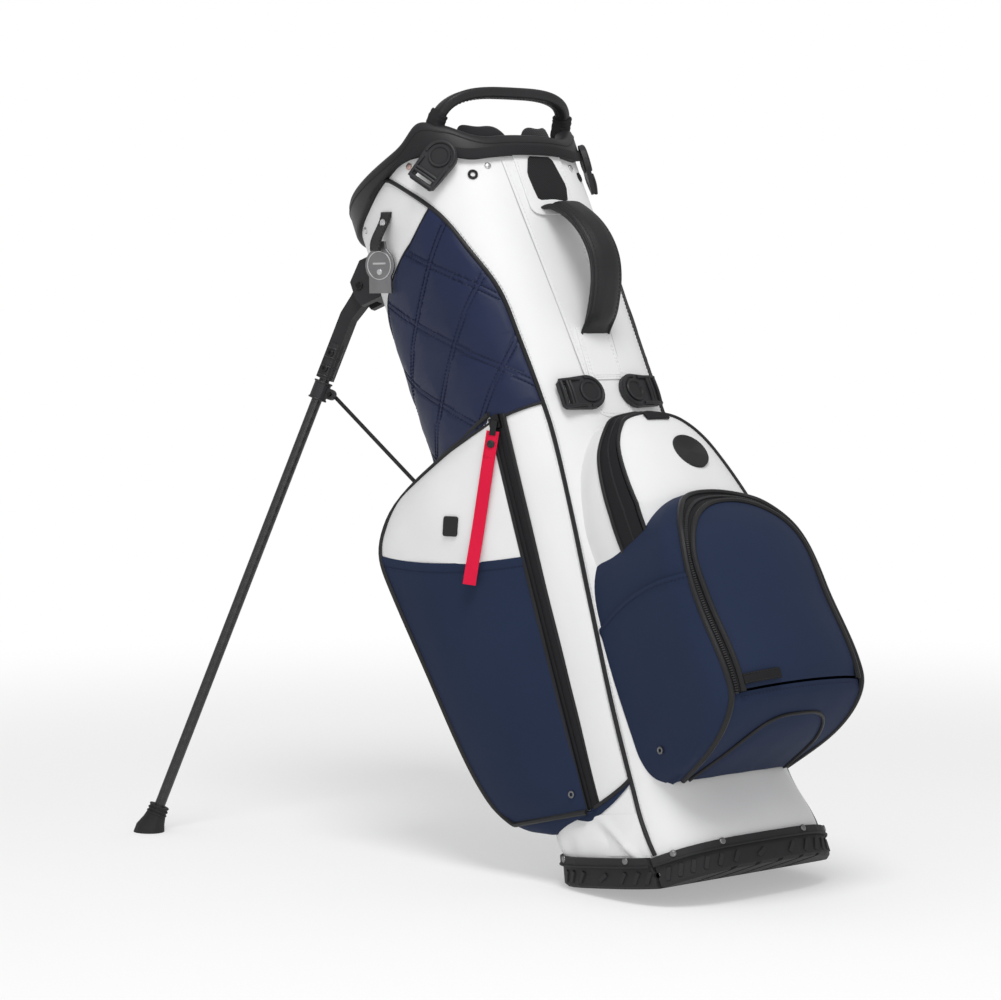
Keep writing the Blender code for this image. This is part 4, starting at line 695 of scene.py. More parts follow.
def lengths(points):
    """How far along a run each of its points lies."""
    gone = [0.0]
    for a, b in zip(points, points[1:]):
        gone.append(gone[-1] + (b - a).length)
    return gone


def smooth_run(points, passes):
    """Ease the corners of a run of points."""
    points = [Vector(p) for p in points]
    for _ in range(passes):
        inner = [(a + b * 2 + c) / 4 for a, b, c in zip(points, points[1:], points[2:])]
        points = [points[0]] + inner + [points[-1]]
    return points


# Repeated small shapes: one node group sets a copy on every point of a guide mesh

def repeat_group():
    group = bpy.data.node_groups.new("repeat_on_points", "GeometryNodeTree")
    for socket, way, kind in (("Guide", "INPUT", "Geometry"), ("Shape", "INPUT", "Object"),
                              ("Finish", "INPUT", "Material"), ("Copies", "OUTPUT", "Geometry")):
        group.interface.new_socket(socket, in_out=way, socket_type="NodeSocket" + kind)

    def node(kind, settings=None, **links):
        made = group.nodes.new(kind)
        for key, setting in (settings or {}).items():
            setattr(made, key, setting)
        for key, value in links.items():
            key = key.replace("_", " ")
            if hasattr(value, "is_output"):
                group.links.new(value, made.inputs[key])
            else:
                made.inputs[key].default_value = value
        return made

    given = node("NodeGroupInput")
    along, out = (node("GeometryNodeInputNamedAttribute", {"data_type": "FLOAT_VECTOR"}, Name=name)
                  for name in ("along", "out"))
    turn = node("FunctionNodeAxesToRotation", {"primary_axis": "Z", "secondary_axis": "X"},
                Primary_Axis=out.outputs[0], Secondary_Axis=along.outputs[0])
    shape = node("GeometryNodeObjectInfo", Object=given.outputs["Shape"])
    copies = node("GeometryNodeInstanceOnPoints", Points=given.outputs["Guide"],
                  Instance=shape.outputs["Geometry"], Rotation=turn.outputs[0])
    real = node("GeometryNodeRealizeInstances", Geometry=copies.outputs[0])
    finish = node("GeometryNodeSetMaterial", Geometry=real.outputs[0], Material=given.outputs["Finish"])
    node("NodeGroupOutput", Copies=finish.outputs[0])
    return group


REPEAT = repeat_group()


def repeats(name, spots, shape, material, body="bag", slot=None):
    """Copies of a small shape on spots of point, along and out, as one plain mesh."""
    turn = BAG.to_3x3()
    guide = bpy.data.meshes.new(name + "_guide")
    guide.from_pydata([BAG @ Vector(spot[0]) for spot in spots], [], [])
    for key, column in (("along", 1), ("out", 2)):
        layer = guide.attributes.new(key, "FLOAT_VECTOR", "POINT")
        layer.data.foreach_set("vector", [c for spot in spots for c in turn @ Vector(spot[column])])
    holder = bpy.data.objects.new(name + "_guide", guide)
    small = bpy.data.meshes.new(name + "_shape")
    small.from_pydata([tuple(point) for point in shape[0]], [], shape[1])
    small.shade_smooth()
    small.set_sharp_from_angle(angle=math.radians(45))
    sample = bpy.data.objects.new(name + "_shape", small)
    for each in (holder, sample):
        bpy.context.scene.collection.objects.link(each)
    modifier = holder.modifiers.new("repeat", "NODES")
    modifier.node_group = REPEAT
    for item in REPEAT.interface.items_tree:
        if item.name == "Shape":
            modifier[item.identifier] = sample
        elif item.name == "Finish":
            modifier[item.identifier] = material
    graph = bpy.context.evaluated_depsgraph_get()
    mesh = bpy.data.meshes.new_from_object(holder.evaluated_get(graph), depsgraph=graph)
    for each in (holder, sample):
        bpy.data.objects.remove(each)
    mesh.name = name
    for key in ("along", "out"):
        if key in mesh.attributes:
            mesh.attributes.remove(mesh.attributes[key])
    piece = bpy.data.objects.new(name, mesh)
    bpy.context.scene.collection.objects.link(piece)
    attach(piece, body)
    slot or SLOT_OF[material.name]
    return piece


def walk(points, outs, spacing):
    """Even steps along a run of points: point, along and out."""
    spots = []
    due = gone = 0.0
    for k in range(len(points) - 1):
        step = Vector(points[k + 1]) - Vector(points[k])
        length = step.length
        while length and due <= gone + length:
            share = (due - gone) / length
            out = Vector(outs[k]).lerp(outs[k + 1], share)
            spots.append((Vector(points[k]) + step * share, step.normalized(), out))
            due += spacing
        gone += length
    return spots


def stitch(length, thick):
    """One stitch: a short thread, sunk at both ends."""
    rings = []
    for share, rise in ((-0.5, -0.5), (-0.3, 0.3), (0, 0.6), (0.3, 0.3), (0.5, -0.5)):
        size = thick * (1 if abs(share) < 0.4 else 0.7)
        rings.append([Vector((share * length, u, v + rise * thick)) for u, v in circle(size, 5)])
    return loft(rings)


def sew(name, lines, step, material, size=STITCH, **more):
    """Stitches along lines of points and outward directions."""
    spots = [spot for points, outs in lines for spot in walk(points, outs, step)]
    return repeats(name, spots, stitch(*size), material, **more)


def rivet(tall):
    return turned([(0, -0.001), (0.0040, -0.001), (0.0040, 0.3 * tall), (0.0034, 0.8 * tall), (0.0018, tall),
                   (0, tall)], 16)


def eyelet(radius=0.0042, hole=0.0021):
    return turned([(radius, -0.001), (radius, 0.0006), (0.8 * radius, 0.0012), (hole, 0.0006), (hole, -0.001)], 18,
                  wrap=True)


def tooth(half_width, half_length):
    return plate(rounded(half_width, half_length, 0.0003, 1), [(0, -0.0006), (0, 0.0005), (0.0003, 0.0009)])


# Body: outer skin, blended skirt over the split base, quilted sides, seams

def above_rim(angle, distance):
    """Height on the body at a distance above the flap's rim."""
    height = WAIST_HEIGHT
    for _ in range(8):
        along = outline_point(height, angle).x - HINGE_SPINE
        height = HINGE_Z + (RIM + distance - along * math.sin(FOLD)) / math.cos(FOLD)
    return height


def shell_foot(angle):
    if outline_point(0, angle).x > HINGE_SPINE:
        return HINGE_Z + FLOOR_TOP + GAP
    return above_rim(angle, SKIRT_GAP)


def soft(point, size, scale):
    """A shallow uneven swell of stretched material."""
    return size * noise.noise(Vector(point) * scale)


def body_skin():
    def place(up, around):
        angle = math.tau * around
        height = mix(shell_foot(angle), collar_foot(angle) + SKIN_UNDER_COLLAR, up)
        swell = soft((math.cos(angle) * 3, math.sin(angle) * 3, height * 14), 0.0009, 1.0)
        return outline_point(height, angle, min(swell, 0.0006))

    piece = make("body_skin", shell(grid(110, 200, place, wrap=True), 0.0030, wrap=True), WHITE, inside=LINING)
    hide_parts("bag_shell")


def skirt():
    """Loose cloth from the body down into the flap's tray, shaped for the flap where it stands and baked in place."""
    def place(share, across):
        degrees = mix(*SKIRT_ARC, across)
        angle = math.radians(degrees)
        top = outline_point(above_rim(angle, 0.046), angle, 0.0012)
        foot = outline_point(0, angle, -0.0016)
        foot = FLAP_IN_BAG @ Vector((foot.x - HINGE_SPINE, foot.y, RIM - 0.010))
        out = body_out(degrees, top.z)
        out.z = 0
        line = mix(88, 70, share)
        line = 360 - line if degrees > 180 else line
        fold = bump(degrees, line + 2.5, 3.2) * 0.0032 - bump(degrees, line - 3, 3.0) * 0.0030
        ripple = 0.0016 * math.sin(degrees * 0.33 + share * 2.0) * bump(share, 0.62, 0.28)
        arch = math.sin(math.pi * share)
        return top.lerp(foot, share) + out * ((fold + ripple) * arch ** 0.8 + 0.0035 * arch)

    piece = cloth("base_skirt", WHITE, 0.0012, 33, 141, place, body=None)
    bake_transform(piece)


def quilt_gap(across, up):
    """Distance to the middle of the nearest pair of stitch lines."""
    gaps = []
    for family, origin in QUILT_FAMILIES:
        turn = ((across - family * up) / math.sqrt(2) - origin) / QUILT_PITCH
        gaps.append(abs((turn - round(turn)) * QUILT_PITCH))
    return min(gaps)


def quilt_row(height):
    left, right = smooth_value(QUILT_LEFT, height), smooth_value(QUILT_RIGHT, height)
    last = QUILT_COLUMNS - 1
    angles = spread(left, right, last)
    points = [on_body(degrees, height) for degrees in angles]
    runs = lengths(points)
    middle = on_body(90, height)
    zero = min(zip(points, runs), key=lambda spot: (spot[0] - middle).length)[1]
    row = []
    for j, (degrees, point, run) in enumerate(zip(angles, points, runs)):
        rim = min(min(j, last - j) / last * runs[-1], height - QUILT_FOOT, QUILT_TIP - height)
        nearest = quilt_gap(run - zero, height)
        puff = (1 - bump(nearest, 0, 0.014)) * ease(rim / 0.012)
        groove = bump(nearest, QUILT_TWIN, 0.0011)
        lift = 0.0012 + 0.0015 * puff - 0.0010 * groove + 0.0008 * ease(rim / 0.004)
        row.append(point + body_out(degrees, height) * (lift + soft(point, 0.0004, 45)))
    return row


def quilt_threads(family, line):
    """Points and outward directions of one stitch line of the quilting."""
    spots = []
    for height in spread(0.530, 0.797, 259):
        degrees = side_degrees(line * math.sqrt(2) + family * height, height)
        if degrees is None:
            continue
        if smooth_value(QUILT_RIGHT, height) + 1.5 < degrees < smooth_value(QUILT_LEFT, height) - 1.5:
            out = body_out(degrees, height)
            spots.append((on_body(degrees, height) + out * 0.0017, out))
    return spots


def quilt(side, name):
    rows = [mirror(quilt_row(height), side) for height in spread(QUILT_FOOT, 0.800, 189)]
    piece = make("quilt_" + name, shell(rows, 0.0020), QUILT)
    lines = []
    for family, origin in QUILT_FAMILIES:
        for k in range(-4, 5):
            for twin in (-QUILT_TWIN, QUILT_TWIN):
                spots = quilt_threads(family, origin + k * QUILT_PITCH + twin)
                if len(spots) > 3:
                    lines.append(mirror_line(zip(*spots), side))
    sew("quilt_stitches_" + name, lines, STITCH_STEP, THREAD_NAVY, (0.0036, 0.0006))


def side_degrees(across, height):
    """The angle whose distance round the body from its side is given, towards the spine."""
    key = round(height, 4)
    if key not in SIDE_RUNS:
        angles = [155 - k * 0.5 for k in range(241)]
        runs = lengths([on_body(degrees, height) for degrees in angles])
        zero = runs[angles.index(90)]
        SIDE_RUNS[key] = [(run - zero, degrees) for run, degrees in zip(runs, angles)]
    table = SIDE_RUNS[key]
    if not table[0][0] < across < table[-1][0]:
        return None
    for (low, first), (high, second) in zip(table, table[1:]):
        if low <= across <= high:
            return mix(first, second, (across - low) / max(high - low, 1e-9))


def side_seams(side, name):
    def piping(title, stations, offset, steps, radius):
        points, outs = mirror_line(seam(stations, offset, steps), side)
        make(title + name, tube(points, radius, outs), PIPING)

    edge = [(smooth_value(QUILT_LEFT, height), height) for height in spread(0.530, 0.7995, 40)]
    piping("seam_piping_", SIDE_SEAM, 0.0012, 14, 0.0026)
    piping("quilt_edge_", edge, 0.0014, 3, 0.0011)
    piping("quilt_foot_", [(degrees, 0.528) for degrees in spread(38.5, 151, 12)], 0.0016, 6, 0.0017)
    lines = [seam([(degrees + shift, height) for degrees, height in SIDE_SEAM[1:-1]], 0.0003)
             for shift in (-2.6, 2.6)]
    sew("seam_stitches_" + name, [mirror_line(line, side) for line in lines], SEAM_STEP, THREAD_WHITE,
        (0.0034, 0.00045))


def at_spine(y, height, offset):
    """A point off the spine side at a sideways place, and the direction out of the body there."""
    degrees = spine_degrees(height, y)
    out = body_out(degrees, height)
    return on_body(degrees, height) + out * offset, out


def patch(name, limits, offset, thickness, columns=40, rows=40, over=0.0):
    """A stitched patch on the spine: rows of height, each between two sideways places."""
    foot = limits(0)[0]

    def place(up, across):
        height, low, high = limits(up)
        y = mix(low, high, across)
        rise = over * bump(y, 0.005, 0.034) * (1 - ease((height - foot) / 0.034))
        return at_spine(y, height, offset + rise)[0]

    cloth(name, WHITE, thickness, rows + 1, columns + 1, place)


def round_rows(foot, head, half, corner, shift=0.0):
    """Row limits of a patch with rounded lower corners, wider towards the top if half grows."""
    def limits(share):
        height = mix(foot, head, share)
        up = height - foot
        inset = corner - math.sqrt(max(corner ** 2 - (corner - min(up, corner)) ** 2, 0))
        wide = mix(half[0], half[1], share) - inset
        return height, shift - wide, shift + wide
    return limits


def edge_line(limits, offset, inset):
    """The line of stitching inside a patch's edge: down one side, along the foot and up the other."""
    left, right = [], []
    for share in spread(0, 1, 60):
        height, low, high = limits(share)
        if high - low > 2 * inset:
            height = max(height, limits(0)[0] + inset)
            left.append((low + inset, height))
            right.append((high - inset, height))
    return zip(*[at_spine(y, height, offset) for y, height in left[::-1] + right])


def spine_panels():
    """Raised panel under the collar with its bare badge, the long panel below and the handle's patch."""
    long_panel = round_rows(0.500, 0.834, (0.026, 0.046), 0.012)
    patch("spine_panel", long_panel, 0.0010, 0.0012, 40, 90)
    sew("spine_stitches", [edge_line(long_panel, 0.0011, 0.004)], EDGE_STEP, THREAD_WHITE)
    lines = []
    for side in (-1, 1):
        levels = [long_panel(share) for share in spread(0.04, 0.99, 59)]
        points, outs = zip(*[at_spine(side * high, height, 0.0006) for height, low, high in levels])
        lines.append(tube(points, 0.0006, outs, 6))
    make("spine_edges", join(*lines), GREY_SEAM)
    top = round_rows(0.757, 0.836, (0.036, 0.037), 0.013, 0.007)
    patch("top_panel", top, 0.0024, 0.0016, over=0.0034)
    sew("top_panel_stitches", [edge_line(top, 0.0025, 0.003)], EDGE_STEP, THREAD_WHITE)
    foot = round_rows(0.546, 0.612, (0.027, 0.024), 0.004, 0.003)
    patch("handle_patch", foot, 0.0026, 0.0016, 30, 24)
    lines = [edge_line(foot, 0.0027, inset) for inset in (0.003, 0.0055)]
    sew("handle_patch_stitches", lines, EDGE_STEP, THREAD_WHITE)
    flat, faces = plate(TOP_BADGE, [(0, -0.001), (0, 0.0008), (0.0006, 0.0014), (0.002, 0.0016)])
    bent = [at_spine(0.0095 + point.x, 0.8045 + point.y, 0.0026 + point.z)[0] for point in flat]
    make("top_badge", (bent, faces), KNURL, slot="black_leather")


# Collar, handles and the soft pieces in the mouth

def from_spine(angle):
    """Degrees from the middle of the spine, the same on both sides."""
    return abs(math.degrees(math.atan2(math.sin(angle), math.cos(angle))))


def rim_top(angle):
    share = 1 - ease((math.cos(angle) - 0.7) / 0.25)
    return COLLAR_SPINE_RIM + COLLAR_SIDE_LIFT * share + 0.017 * bump(from_spine(angle), 60, 12)


def collar_foot(angle):
    return smooth_value(FOOT_LINE, from_spine(angle))


def at_mouth(angle, offset, height):
    """A point round the mouth's outline, at a height of its own."""
    point = outline_point(BODY_HEIGHT, angle, offset)
    point.z = height
    return point


def collar():
    inside = -COLLAR_INSIDE
    from_foot = [(GAP, 0), (COLLAR_PROUD - 0.0022, 0), (COLLAR_PROUD - 0.0006, 0.0012), (COLLAR_PROUD, 0.004)]
    from_rim = [(COLLAR_PROUD, 0.011), (COLLAR_PROUD - 0.0008, 0.0065), (COLLAR_PROUD - 0.0026, 0.0030),
                (COLLAR_PROUD - 0.0055, 0.0008), (-0.0025, 0.0), (inside + 0.005, 0.0010), (inside + 0.002, 0.0030),
                (inside + 0.0004, 0.0060), (inside, 0.010)]
    back = [(inside, -0.010), (-FABRIC - GAP, -0.010)]
    angles = [math.tau * k / 240 for k in range(240)]

    def low(profile):
        return [[at_mouth(a, offset, collar_foot(a) + above) for a in angles] for offset, above in profile]

    high = [[at_mouth(a, offset, rim_top(a) - below) for a in angles] for offset, below in from_rim]
    piece = make("collar_moulding", loft(low(from_foot) + high + low(back), wrap=True), PLASTIC, sharp=50)
    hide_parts("collar")

    def strip(up, across):
        degrees = mix(-100, 100, across)
        angle = math.radians(degrees)
        tall = 0.0125 * (1 - 0.75 * ease((abs(degrees) - 55) / 40))
        offset = COLLAR_PROUD + 0.0014 - 0.0008 * abs(up * 2 - 1) ** 3
        return at_mouth(angle, offset, collar_foot(angle) - 0.0020 + tall * up)

    cloth("collar_strip", KNURL, 0.0020, 9, 241, strip)
    bead = [at_mouth(a, COLLAR_PROUD - 0.0001, rim_top(a) - 0.0125) for a in angles]
    make("collar_bead", tube(bead, 0.0009, closed=True, sides=6), RUBBER)


def grab_points():
    angle = math.radians(GRAB_ROOT_DEG)
    root = at_mouth(angle, -GRAB_INSET, COLLAR_SPINE_RIM + COLLAR_SIDE_LIFT + GAP + GRAB_RADIUS / 2)
    points = []
    for turn in spread(0, math.pi, 28):
        c, s = math.cos(turn), max(math.sin(turn), 0)
        points.append(Vector((root.x + GRAB_REACH * s ** 0.75, -math.copysign(abs(c) ** 0.62, c) * root.y,
                              root.z + GRAB_RISE * s ** 0.6)))
    foot = UP * 0.014
    return [points[0] - foot, points[0] - foot * 0.5] + points + [points[-1] - foot * 0.5, points[-1] - foot]


def grab_handle():
    points = smooth_path(grab_points(), 4)
    frames = path_frames(points, [Vector((-1, 0, 0.3)).normalized()] * len(points))
    piece = make("grab_loop", sweep(frames, rounded(0.0064, 0.0086, 0.0044)), LEATHER)
    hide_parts("grab_handle")
    sleeves = []
    for run in (frames[:20], frames[-20:]):
        sizes = [1 + 0.03 * math.sin(k * 1.9) for k in range(len(run))]
        sleeves.append(sweep(run, rounded(0.0086, 0.0108, 0.0054), sizes=sizes))
    make("grab_sleeves", join(*sleeves), KNURL)
    between = frames[22:-22]
    line = [p + s * 0.0064 for p, a, s, o in between], [s for p, a, s, o in between]
    sew("grab_stitches", [line], SEAM_STEP, THREAD_BLACK, (0.0036, 0.0005))


def carry_line(share):
    height = mix(CARRY_FOOT, CARRY_TOP, share)
    arch = math.sin(math.pi * share) ** (0.62 if share > 0.5 else 0.95) if 0 < share < 1 else 0
    return Vector((half_sizes(height)[0] + CARRY_STANDOFF * arch + 0.0006, CARRY_SHIFT, height)), arch


def carry_handle():
    points, arches = zip(*[carry_line(share) for share in spread(0, 1, 64)])
    thick = [CARRY_THICKNESS * (0.20 + 0.80 * ease(arch / 0.45)) for arch in arches]
    frames = path_frames(points, [SPINEWARD] * len(points))
    outs = [out for point, along, side, out in frames]
    rings = []
    for k, (point, along, side, out) in enumerate(frames):
        ends = min(1, 0.80 + 0.20 * ease(min(k, 64 - k) / 6))
        ring = []
        for u in (-1, -0.96, -0.9, -0.8, -0.6, -0.3, 0, 0.3, 0.6, 0.8, 0.9, 0.96, 1):
            crown = (1 - abs(u) ** 5) * 0.45 + 0.55 - 0.10 * bump(abs(u), 0.80, 0.05)
            ring.append(point + side * (u * CARRY_HALF) + out * (thick[k] * crown * ends))
        for u in (1, 0.9, 0.5, 0, -0.5, -0.9, -1):
            ring.append(point + side * (u * CARRY_HALF) + out * (-0.0006 + 0.0016 * (abs(u) > 0.95)))
        rings.append(ring)
    piece = make("carry_strap", loft(rings), LEATHER, sharp=60)
    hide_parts("carry_handle")

    def beside(across, up):
        return [p + s * (across * CARRY_HALF) + o * (thick[k] * up) for k, (p, a, s, o) in enumerate(frames)]

    make("carry_welts", join(*[tube(beside(hand, 0.5), 0.0017, outs) for hand in (-1, 1)]), PIPING)
    lines = [(beside(hand * 0.80, 0.755)[3:-3], outs[3:-3]) for hand in (-1, 1)]
    sew("carry_stitches", lines, EDGE_STEP, THREAD_BLACK)


def divider(inside):
    bars, lines = [], []
    for start, end in (((-(MOUTH[1] - inside), 0), (MOUTH[0] - inside, 0)),
                       ((0, -(MOUTH[2] - inside)), (0, MOUTH[2] - inside))):
        line = [Vector((mix(start[0], end[0], k / 60), mix(start[1], end[1], k / 60),
                        COLLAR_SPINE_RIM - 0.0122 + soft((k * 0.4, start[0] * 9, 2), 0.0006, 1))) for k in range(61)]
        sizes = [1 + soft((k * 0.5, 1, 3), 0.05, 1) for k in range(61)]
        bars.append(sweep(path_frames(line, [UP] * 61), rounded(0.0052, 0.0118, 0.0048, 5), sizes=sizes))
    piece = make("divider_bars", join(*bars), FOAM, sharp=60)
    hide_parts("top_divider")
    for start, end in (((-0.125, 0), (0.090, 0)), ((0, -0.105), (0, 0.105))):
        line = [Vector((mix(start[0], end[0], k / 20), mix(start[1], end[1], k / 20), COLLAR_SPINE_RIM - 0.0003))
                for k in range(21)]
        lines.append((line, [UP] * 21))
    sew("divider_stitches", lines, 0.006, THREAD_BLACK, (0.004, 0.0005), slot="black_foam")


def mouth_pieces():
    """Padded divider bars, the soft lip, the club panels."""
    inside = COLLAR_INSIDE + 2 * GAP
    divider(inside)
    for side, name in SIDES:
        rings = []
        for k in range(33):
            angle = math.radians(side * mix(3.0, 38, k / 32))
            top = rim_top(angle) - 0.003
            top += 0.026 * (1 - abs(k / 16 - 1) ** 4) ** 0.6 + soft((k * 0.1, side, 0), 0.0005, 1)
            rings.append([at_mouth(angle, -inside - 0.0040 + u * 0.0072 - 0.0035 * bump(v, 0.1, 0.3),
                                   mix(BODY_HEIGHT - 0.013, top, v + 0.5)) for u, v in rounded(0.5, 0.5, 0.44, 5)])
        piece = make("putter_lip_soft_" + name, loft(rings), FOAM, sharp=60)
        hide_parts("putter_lip_" + name)
    for name, start, end, swing in (("long", (-0.074, 0, 0), (0.084, 0, 0), (0, 1, 0)),
                                    ("cross", (0, -0.098, 0), (0, 0.098, 0), SPINEWARD)):
        def place(up, share):
            height = mix(0.1003, 0.8395, up)
            sway = 0.0007 * math.sin(7 * share + 5 * height) * math.sin(math.pi * up)
            return Vector(start).lerp(Vector(end), share) + Vector(swing) * sway + UP * height

        piece = cloth("club_panel_" + name, LINING, 0.0010, 61, 41, place)
        if name == "long":
            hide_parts("club_divider_panels")


# Side pockets with their zips

def zip_point(height, lift=0.0):
    share = (height - ZIP_FOOT) / (ZIP_HEAD - ZIP_FOOT)
    foot = side_reach(ZIP_FOOT, ZIP_FOOT_X)
    head = side_reach(ZIP_HEAD, ZIP_HEAD_X)
    return Vector((mix(ZIP_FOOT_X, ZIP_HEAD_X, share), mix(foot, head, share) + lift, height))


def zip_axes():
    """Directions across the zip and out of it."""
    along = (zip_point(ZIP_HEAD) - zip_point(ZIP_FOOT)).normalized()
    slope = side_reach(ZIP_HEAD, ZIP_HEAD_X + ZIP_HALF_WIDTH) - side_reach(ZIP_HEAD, ZIP_HEAD_X - ZIP_HALF_WIDTH)
    across = Vector((2 * ZIP_HALF_WIDTH, slope, 0)).normalized()
    out = along.cross(across).normalized()
    return out.cross(along), out


ZIP_ACROSS, ZIP_OUT = zip_axes()


def pocket_point(t, height):
    """A point of the far pocket's face, from the zip at 0 to its outer edge at 1."""
    reach = smooth_value(SIDE_STATIONS, (height - SIDE_FOOT) / (SIDE_HEAD - SIDE_FOOT))
    corner = Vector((-SIDE_CORNER[0], SIDE_CORNER[1], height))
    edge = corner.lerp(Vector((-SIDE_EDGE[0], SIDE_EDGE[1], height)), reach)
    start = zip_point(height, ZIP_PROUD) - ZIP_ACROSS * (ZIP_HALF_WIDTH + GAP)
    start.z = height
    middle = start.lerp(edge, 0.55) + Vector((0, SIDE_CROWN * 2 * reach, 0))
    return start * (1 - t) ** 2 + middle * (2 * t * (1 - t)) + edge * (t * t)


def pocket_foot(x):
    return SIDE_FLOOR - SIDE_FLOOR_SLOPE * x


def pocket_head(x):
    return 0.538 + 0.10 * (x - ZIP_HEAD_X)


def pocket_hem(x):
    return 0.3765 - 0.32 * x + 0.9 * x * x


def pocket_level(t, line, start):
    """Height at which a column of the pocket's face meets a slanted line."""
    height = start
    for _ in range(24):
        height = mix(height, line(pocket_point(t, height).x), 0.6)
    return height


def pocket_lower_lift(v, u, point):
    dome = math.sin(math.pi * min(max(u, 0), 1)) ** 0.7 * math.sin(math.pi * min(v * 0.94 + 0.03, 1)) ** 0.6
    pull = 0.0012 * math.sin(11 * u + 7 * v) * bump(v, 0.9, 0.25) * math.sin(math.pi * u)
    return 0.0008 + 0.0050 * dome + pull + soft(point, 0.0010, 22) * dome + 0.0012 * bump(v, 0.985, 0.012)


def pocket_upper_lift(v, u, point):
    dome = math.sin(math.pi * u) ** 0.7 * math.sin(math.pi * min(v * 0.9 + 0.10, 1)) ** 0.8
    crease = 0.0011 * math.sin(9 * u - 5 * v) * math.sin(math.pi * u)
    return 0.0034 * dome + crease * dome + soft(point, 0.0008, 26) * dome


def side_pocket(side, name):
    columns = spread(0, 1, 56)
    feet = [pocket_level(t, pocket_foot, 0.10) for t in columns]
    hems = [pocket_level(t, pocket_hem, 0.40) for t in columns]
    heads = [pocket_level(t, pocket_head, 0.54) for t in columns]

    def face(low, high, rows, lift):
        points = [[pocket_point(t, mix(low[k], high[k], i / rows)) for k, t in enumerate(columns)]
                  for i in range(rows + 1)]
        raised = raise_grid(points, lift)
        raised[..., 1] *= side
        return raised

    low = face(feet, [h + 0.001 for h in hems], 84, pocket_lower_lift)
    high = face([h - 0.006 for h in hems], heads, 46, pocket_upper_lift)
    piece = make("pocket_lower_" + name, shell(low, 0.0026), NAVY)
    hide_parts("side_pocket_" + name)
    make("pocket_upper_" + name, shell(high, 0.0022), WHITE)
    hem = [Vector(p) for p in low[-4]]
    sew("pocket_hem_stitches_" + name, [(hem, [level(p) for p in hem])], STITCH_STEP, THREAD_NAVY)
    edge_top = [pocket_point(t, h) for t, h in zip(columns, heads)]
    edge_foot = [pocket_point(t, h) for t, h in zip(columns, feet)]
    edge_side = [pocket_point(1, h) for h in spread(heads[-1], feet[-1], 60)[1:-1]]
    run = smooth_run([p + level(p) * 0.0012 for p in edge_top + edge_side + edge_foot[::-1]], 4)
    make("pocket_piping_" + name, tube(mirror(run, side), 0.0032), PIPING)
    pocket_walls(side, name, feet, heads, columns)
    pocket_zip(side, name)
    out = Vector((0.15, 1, 0)).normalized()
    spot = pocket_point(0.10, feet[6] + 0.022) + out * 0.0028
    repeats("pocket_eyelet_" + name, [(flip(spot, side), UP, flip(out, side))], eyelet(), GUNMETAL)
    if side < 0:
        pocket_badge(high)


def pocket_walls(side, name, feet, heads, columns):
    """The pocket's outer gusset, its underside and its lid, with the band and piping at its foot."""
    def gusset(up, share):
        height = mix(feet[-1], heads[-1], up)
        leg, wide = half_sizes(min(max(height, WAIST_HEIGHT), BODY_HEIGHT))[1:3]
        point = pocket_point(1, height).lerp(Vector((-0.84 * leg, 0.66 * wide, height)), share)
        return flip(point + Vector((0.9, -0.4, 0)) * (0.006 * math.sin(math.pi * share)), side)

    def under(share, t):
        top = pocket_point(t, feet[columns.index(t)])
        root = on_body(mix(86, 136, t), top.z - mix(0.004, 0.022, ease(t / 0.7)), 0.004)
        sag = 0.006 * math.sin(math.pi * share) * ease(t / 0.7)
        return flip(top.lerp(root, share) + Vector((0, 0.4, -1)) * sag, side)

    def lid(share, t):
        top = pocket_point(t, heads[columns.index(t)])
        return flip(top.lerp(on_body(mix(72, 137, t), top.z + 0.006 * ease(t / 0.5), -0.002), share), side)

    def band(share, across):
        degrees = mix(92, 58, across)
        height = smooth_value(POCKET_BAND, degrees) - mix(0.012, 0.003, across) * share
        return on_body(side * degrees, height, 0.0026 - 0.0010 * share ** 2)

    cloth("pocket_gusset_" + name, NAVY, 0.0018, 61, 13, gusset)
    cloth("pocket_under_" + name, NAVY, 0.0016, 13, 57, under)
    cloth("pocket_lid_" + name, WHITE, 0.0016, 9, 57, lid)
    points = seam([(86, 0.0735), (76, 0.0765), (66, 0.081), (58.5, 0.086)], 0.0016, 8)[0]
    make("pocket_foot_piping_" + name, tube(mirror(points, side), 0.0028), PIPING)
    cloth("pocket_foot_band_" + name, NAVY, 0.0016, 7, 31, band)


def pocket_zip(side, name):
    path, outs = [], []
    for h in spread(ZIP_FOOT - 0.026, ZIP_HEAD - 0.008, 80):
        x = zip_point(h).x
        path.append(Vector((x, side_reach(h, x), h)))
        slope = side_reach(h, x + 0.004) - side_reach(h, x - 0.004)
        outs.append(Vector((-slope, 0.008, 0)).normalized())
    half = [(-0.0084, -0.006), (-0.0084, 0.0018), (-0.0070, 0.0030), (-0.0030, 0.0033), (-0.0012, 0.0029),
            (-0.0006, 0.0010)]
    profile = half + [(-u, v) for u, v in half[::-1]]
    piece = make("zip_band_" + name, sweep(path_frames(mirror(path, side), mirror(outs, side)), profile), TAPE)
    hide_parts("zip_tape_" + name)
    edges = [tube(mirror([p + ZIP_ACROSS * u + o * 0.0014 for p, o in zip(path, outs)], side), 0.0024)
             for u in (-0.0094, 0.0094)]
    make("zip_piping_" + name, join(*edges), PIPING)
    points, outs = mirror_line(([p + o * 0.0010 for p, o in zip(path, outs)], outs), side)
    repeats("zip_teeth_" + name, walk(points, outs, TOOTH_PITCH), tooth(0.0008, 0.0011), PLASTIC)


